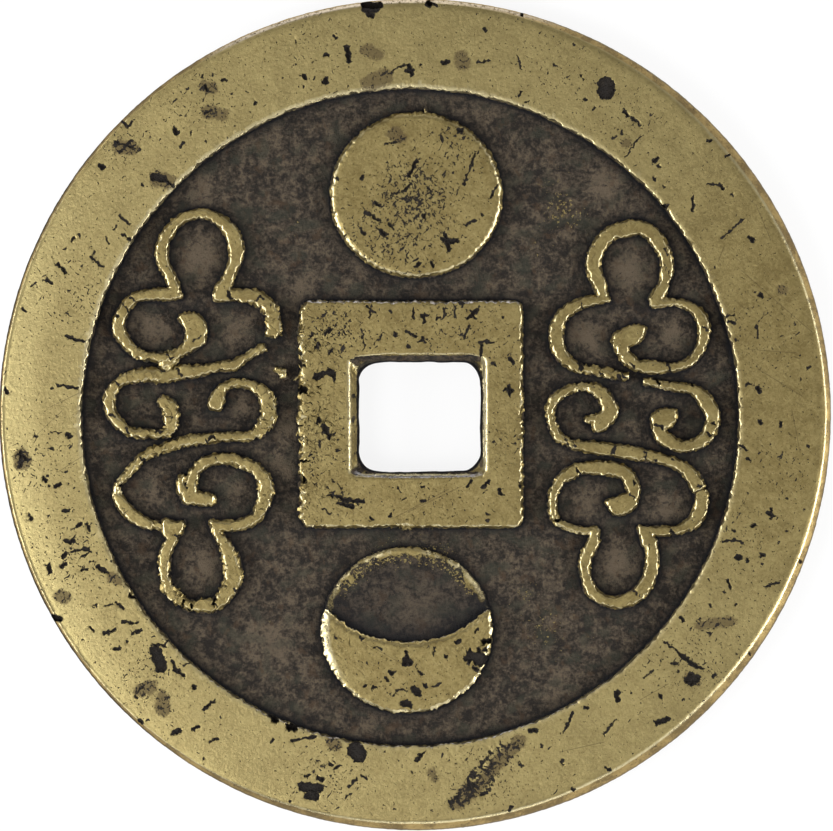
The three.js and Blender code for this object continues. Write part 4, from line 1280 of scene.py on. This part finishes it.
class COIN_OT_rims(bpy.types.Operator):
    """Turn the two broad rims, the decorated side's one off centre as its mould was"""

    bl_idname = "coin.rims"
    bl_label = "Rims"

    def execute(self, context):
        shape = context.scene.coin_shape
        self.front(shape, shape.rim_wear * MM, *rim_opening("front_rim", FRONT_FIELD))
        self.back(shape, shape.rim_wear * MM, *rim_opening("back_rim", BACK_FIELD))
        return {"FINISHED"}

    def front(self, shape, wear, centre, radius):
        rows, steps = shape.rim_rows, shape.rim_steps
        piece = turned_rim("worn_front_rim", radius, FRONT_FIELD, THICKNESS, wear, rows, steps)
        lean_and_shift(piece, centre, radius, FRONT_FIELD, 1)
        points = points_of(piece)
        fall = step_between(0.3, 1, toward(points, SHEEN_TURN))
        fall = fall * np.clip((from_axis(points) - RADIUS + 3) / 3, 0, 1) ** 2
        points[:, 2] -= fall * RIM_FALL * (points[:, 2] > FRONT_FIELD + 0.2)
        move_points(piece, points)
        shape_edge(piece, wear)
        refine(piece, PITS + BITES, (0.14, 0.04))
        weather(piece, shape, upper_glint=1)
        self.shine(piece, centre, radius)
        finished(piece, "worn_brass", ["front_rim"])

    def shine(self, piece, centre, radius):
        """Stores the rim's painted sheen, where its outer edge has a crust, and the painted highlight along
        its lip.
        """
        points = points_of(piece)
        away = from_axis(points)
        bright = toward(points, SHEEN_TURN)
        sheen = step_between(0.45, 1, bright) * step_between(RADIUS - 5, RADIUS - 1, away)
        # Painted sheen: strongest on the side towards SHEEN_TURN, weaker on the opposite side
        paint(piece, "sheen", np.maximum(sheen, 0.5 * step_between(-1, -0.75, bright)))
        crusty = step_between(0.89, 0.95, toward(points, CRUST_TURN))
        paint(piece, "crust", crusty * step_between(RADIUS - 0.34, RADIUS - 0.24, away))
        # Painted highlight along the inner lip, brightest towards INNER_TURN
        inwards = np.linalg.norm(points[:, :2] - centre, axis=1) - radius
        lip = step_between(0.3, 0.24, inwards + Grain(63, 0.3, 3)(points) * 0.12)
        lip = lip * (points[:, 2] > FRONT_FIELD + 0.4)
        paint(piece, "glint", lip * (0.25 + 0.75 * step_between(0.2, 0.9, toward(points, INNER_TURN))))

    def back(self, shape, wear, centre, radius):
        rows, steps = shape.rim_rows // 3, shape.rim_steps // 2
        piece = turned_rim("worn_back_rim", radius, 0, BACK_FIELD, wear, rows, steps)
        points = points_of(piece)
        points[:, 2] = BACK_FIELD - points[:, 2]
        move_points(piece, points)
        lean_and_shift(piece, centre, radius, BACK_FIELD, -1)
        points = points_of(piece)
        wander(points, shape.ragged * MM)
        move_points(piece, points)
        outward(piece)
        finished(piece, "worn_brass", ["back_rim"])


class COIN_OT_collars(bpy.types.Operator):
    """Build the raised frames round the hole on both sides"""

    bl_idname = "coin.collars"
    bl_label = "Collars"

    def execute(self, context):
        shape = context.scene.coin_shape
        self.front(shape, shape.collar_voxel * MM)
        self.back(shape, shape.collar_voxel * MM)
        return {"FINISHED"}

    def front(self, shape, voxel):
        piece = copy_of("front_hole_collar", "worn_front_collar", voxel, 2, sunk=SUNK, rounded=0.14)
        points = points_of(piece)
        open_hole(points)
        move_lips(points)
        move_points(piece, points)
        refine(piece, PITS + BITES, (0.1,))
        weather(piece, shape, upper_glint=1)
        points = points_of(piece)
        # Painted shade in the hole's mouth: the listed dark places, and the top wall darker deeper down
        shaded = np.clip(0.6 - mark_distance(points, MOUTH_SHADE) / 0.3, 0, 1)
        shaded = shaded * (points[:, 2] < THICKNESS - 0.04)
        mouth = in_mouth(points)
        deep = mouth * step_between(THICKNESS - 0.3, THICKNESS - 0.7, points[:, 2])
        paint(piece, "patina_and_shade", np.maximum(shaded, deep * 0.8 * step_between(2.8, 3.4, points[:, 1])))
        paint(piece, "worn", mouth * step_between(FRONT_FIELD + 0.04, FRONT_FIELD + 0.14, points[:, 2]))
        # Painted highlights along the mouth's lips
        paint(piece, "glint", np.clip(0.5 - mark_distance(points, MOUTH_LIGHT, 0.015) / 0.1, 0, 1) * mouth)
        finished(piece, "worn_brass", ["front_hole_collar"])

    def back(self, shape, voxel):
        piece = copy_of("back_hole_collar", "worn_back_collar", voxel * 1.6, 1)
        points = points_of(piece)
        wander(points, shape.ragged * MM)
        open_hole(points)
        move_points(piece, points)
        finished(piece, "worn_brass", ["back_hole_collar"])


class COIN_OT_sun(bpy.types.Operator):
    """Build the full disc above the hole, with its heavy pitting"""

    bl_idname = "coin.sun"
    bl_label = "Sun"

    def execute(self, context):
        shape = context.scene.coin_shape
        piece = copy_of("sun_disc", "worn_sun", shape.relief_voxel * MM * 1.2, 2, sunk=SUNK, rounded=0.42)
        refine(piece, PITS, (0.1,))
        weather(piece, shape)
        finished(piece, "worn_brass", ["sun_disc"])
        return {"FINISHED"}


class COIN_OT_moon(bpy.types.Operator):
    """Build the crescent and the dark dish that it holds"""

    bl_idname = "coin.moon"
    bl_label = "Moon"

    def execute(self, context):
        shape = context.scene.coin_shape
        self.crescent(shape, shape.relief_voxel * MM)
        self.dish(shape, shape.relief_voxel * MM)
        return {"FINISHED"}

    def crescent(self, shape, voxel):
        piece = copy_of("moon_crescent", "worn_crescent", voxel * 1.2, 2, rounded=0.24)
        refine(piece, PITS, (0.1,))
        weather(piece, shape, upper_glint=0.7)
        points = points_of(piece)
        offset = points[:, :2] - from_photo(*MOON_CENTRE)
        away = np.linalg.norm(offset, axis=1)
        # Painted highlight along the crescent's left edge
        lip = step_between(5.2, 5.38, away + Grain(64, 0.5, 2)(points) * 0.08)
        paint(piece, "glint", lip * step_between(0.75, 0.97, -offset[:, 0] / away))
        finished(piece, "worn_brass", ["moon_crescent"])

    def dish(self, shape, voxel):
        piece = copy_of("moon_dish", "worn_dish", voxel * 1.4, 2, sunk=SUNK)
        weather(piece, shape)
        points = points_of(piece)
        away = distance_to(sides(shape, "moon_dish", FRONT_FIELD), points)
        paint(piece, "patina_and_shade", step_between(0.0, 0.7, away + Grain(61, 0.7, 3)(points) * 0.42))
        # Painted highlights along the left and right parts of the dish's rim
        lit = step_between(0.36, 0.2, away) * step_between(-0.35, 0.1, Grain(62, 0.3, 2)(points))
        paint(piece, "glint", lit * step_between(0.6, 1.6, np.abs(points[:, 0] + 0.5)))
        near = distance_to(sides(shape, "moon_crescent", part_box("moon_crescent")[0].z * MM), points)
        # Painted shadow of the crescent across the dish, over an even darkening of the whole dish
        paint(piece, "grime_and_shade", 0.3 + 0.8 * np.exp(-((near / 0.85) ** 1.5)))
        paint(piece, "speck", 1.2 * np.exp(-(((away - 0.5) / 0.7) ** 2)) * step_between(0.6, 2, near))
        paint(piece, "pale", spread(points, PALE))
        finished(piece, "dark_patina", ["moon_dish"])


class COIN_OT_clouds(bpy.types.Operator):
    """Build the eight scrolls of the two clouds"""

    bl_idname = "coin.clouds"
    bl_label = "Clouds"

    def execute(self, context):
        shape = context.scene.coin_shape
        for node in CLOUDS:
            piece = copy_of(node, "worn_" + node, shape.relief_voxel * MM, 2, sunk=SUNK)
            weather(piece, shape)
            finished(piece, "worn_brass", [node])
        return {"FINISHED"}


class COIN_OT_flashes(bpy.types.Operator):
    """Build the stray lumps of metal that the mould left between strokes and on the field"""

    bl_idname = "coin.flashes"
    bl_label = "Casting flashes"

    def execute(self, context):
        shape = context.scene.coin_shape
        for name, x, y, length, width, turn, height in FLASHES:
            piece = started(name, bpy.ops.mesh.primitive_ico_sphere_add, subdivisions=5, radius=1)
            centre = np.array([*from_photo(x, y), FRONT_FIELD])
            edit(piece)
            size = (length * PHOTO_MM, width * PHOTO_MM, height)
            bpy.ops.transform.resize(value=size, center_override=(0, 0, 0))
            bpy.ops.transform.rotate(value=-math.radians(turn), orient_axis="Z", center_override=(0, 0, 0))
            bpy.ops.transform.translate(value=tuple(centre))
            done()
            points = points_of(piece)
            points = centre + (points - centre) * (1 + 0.2 * Grain(71, 0.3, 2)(points))[:, None]
            top = FRONT_FIELD + min(0.9 * height, FILED)
            points[:, 2] = np.clip(points[:, 2], FRONT_FIELD - 0.2, top)
            move_points(piece, points)
            weather(piece, shape)
            finished(piece, "worn_brass")
        return {"FINISHED"}


class COIN_OT_stage(bpy.types.Operator):
    """Set the pale floor, the soft lamps and the camera straight above the coin"""

    bl_idname = "coin.stage"
    bl_label = "Stage"

    def execute(self, context):
        context.scene.view_settings.view_transform = "Standard"
        self.floor(context.scene.coin_stage)
        self.world(context.scene, context.scene.coin_stage)
        for settings in LAMPS:
            self.lamp(context.scene, *settings)
        self.camera(context.scene, context.scene.coin_stage)
        return {"FINISHED"}

    def floor(self, stage):
        floor = started("floor", bpy.ops.mesh.primitive_plane_add, size=FLOOR_SIZE)
        floor.data.transform(Matrix.Translation((0, 0, -FLOOR_DROP)))
        material, maker = new_material("pale_floor")
        direct, glossy = kinds_of_ray(maker)
        matt = maker.node("ShaderNodeBsdfDiffuse", {}, {"Color": stage.floor})
        white = maker.node("ShaderNodeEmission", {}, {"Color": (1, 1, 1), "Strength": 1.0})
        whiteness = (direct | glossy) * stage.floor_glow
        mixed = maker.node("ShaderNodeMixShader", {}, {0: whiteness, 1: matt, 2: white})
        maker.node("ShaderNodeOutputMaterial", {}, {"Surface": mixed})
        floor.data.materials.append(material)

    def world(self, scene, stage):
        """White where the camera sees it, and light of its own strength in reflections and all round."""
        scene.world = bpy.data.worlds.new("studio")
        scene.world.use_nodes = True
        maker = Maker(scene.world.node_tree)
        direct, glossy = kinds_of_ray(maker)
        strength = (direct | glossy * stage.mirrored) + (1 - (direct | glossy)) * stage.ambient
        background = maker.node("ShaderNodeBackground", {}, {"Color": (1, 1, 1), "Strength": strength})
        maker.node("ShaderNodeOutputWorld", {}, {"Surface": background})

    def lamp(self, scene, name, azimuth, elevation, width, height, shine):
        """A soft lamp aimed at the coin. shine is how bright it looks, whatever its size."""
        data = bpy.data.lights.new(name, "AREA")
        data.shape = "RECTANGLE"
        data.size = width
        data.size_y = height
        data.energy = math.pi * width * height * shine
        piece = bpy.data.objects.new(name, data)
        scene.collection.objects.link(piece)
        turn, rise = math.radians(azimuth), math.radians(elevation)
        way = Vector((math.cos(turn) * math.cos(rise), math.sin(turn) * math.cos(rise), math.sin(rise)))
        piece.location = way * LAMP_DISTANCE
        piece.rotation_euler = way.to_track_quat("Z", "Y").to_euler()
        piece.visible_camera = False

    def camera(self, scene, stage):
        data = bpy.data.cameras.new("camera")
        data.sensor_width = SENSOR_WIDTH
        data.lens = SENSOR_WIDTH * stage.distance / (PHOTO_SIZE[0] * PHOTO_MM / MM)
        data.clip_start = 0.01
        data.clip_end = 10
        scene.camera = bpy.data.objects.new("camera", data)
        scene.collection.objects.link(scene.camera)
        x, y = from_photo(PHOTO_SIZE[0] / 2, PHOTO_SIZE[1] / 2)
        scene.camera.location = (x / MM, y / MM, THICKNESS / MM + stage.distance)


def kinds_of_ray(maker):
    """1 for what the camera sees straight or through glass, and 1 for what it sees in a mirror."""
    path = maker.node("ShaderNodeLightPath")
    return path | maker.also(path, "Is Transmission Ray"), maker.also(path, "Is Glossy Ray")


class COIN_PT_panel(bpy.types.Panel):
    bl_label = "Cash coin"
    bl_idname = "COIN_PT_panel"
    bl_space_type = "VIEW_3D"
    bl_region_type = "UI"
    bl_category = "Coin"

    def draw(self, context):
        for operator in OPERATORS:
            self.layout.operator(operator.bl_idname)
        for group in GROUPS:
            box = self.layout.box()
            for name in GROUPS[group].__annotations__:
                box.prop(getattr(context.scene, group), name)


GROUPS = {"coin_shape": CoinShape, "coin_finish": CoinFinish, "coin_stage": CoinStage}
OPERATORS = (
    COIN_OT_stage, COIN_OT_field, COIN_OT_rims, COIN_OT_collars, COIN_OT_sun, COIN_OT_moon, COIN_OT_clouds,
    COIN_OT_flashes,
)


def register():
    for kind in (*GROUPS.values(), *OPERATORS, COIN_PT_panel):
        bpy.utils.register_class(kind)
    for name, kind in GROUPS.items():
        setattr(bpy.types.Scene, name, bpy.props.PointerProperty(type=kind))


def unregister():
    for name in GROUPS:
        delattr(bpy.types.Scene, name)
    for kind in reversed((*GROUPS.values(), *OPERATORS, COIN_PT_panel)):
        bpy.utils.unregister_class(kind)


def main():
    register()
    for operator in OPERATORS:
        group, name = operator.bl_idname.split(".")
        getattr(getattr(bpy.ops, group), name)()


if __name__ == "__main__":
    main()
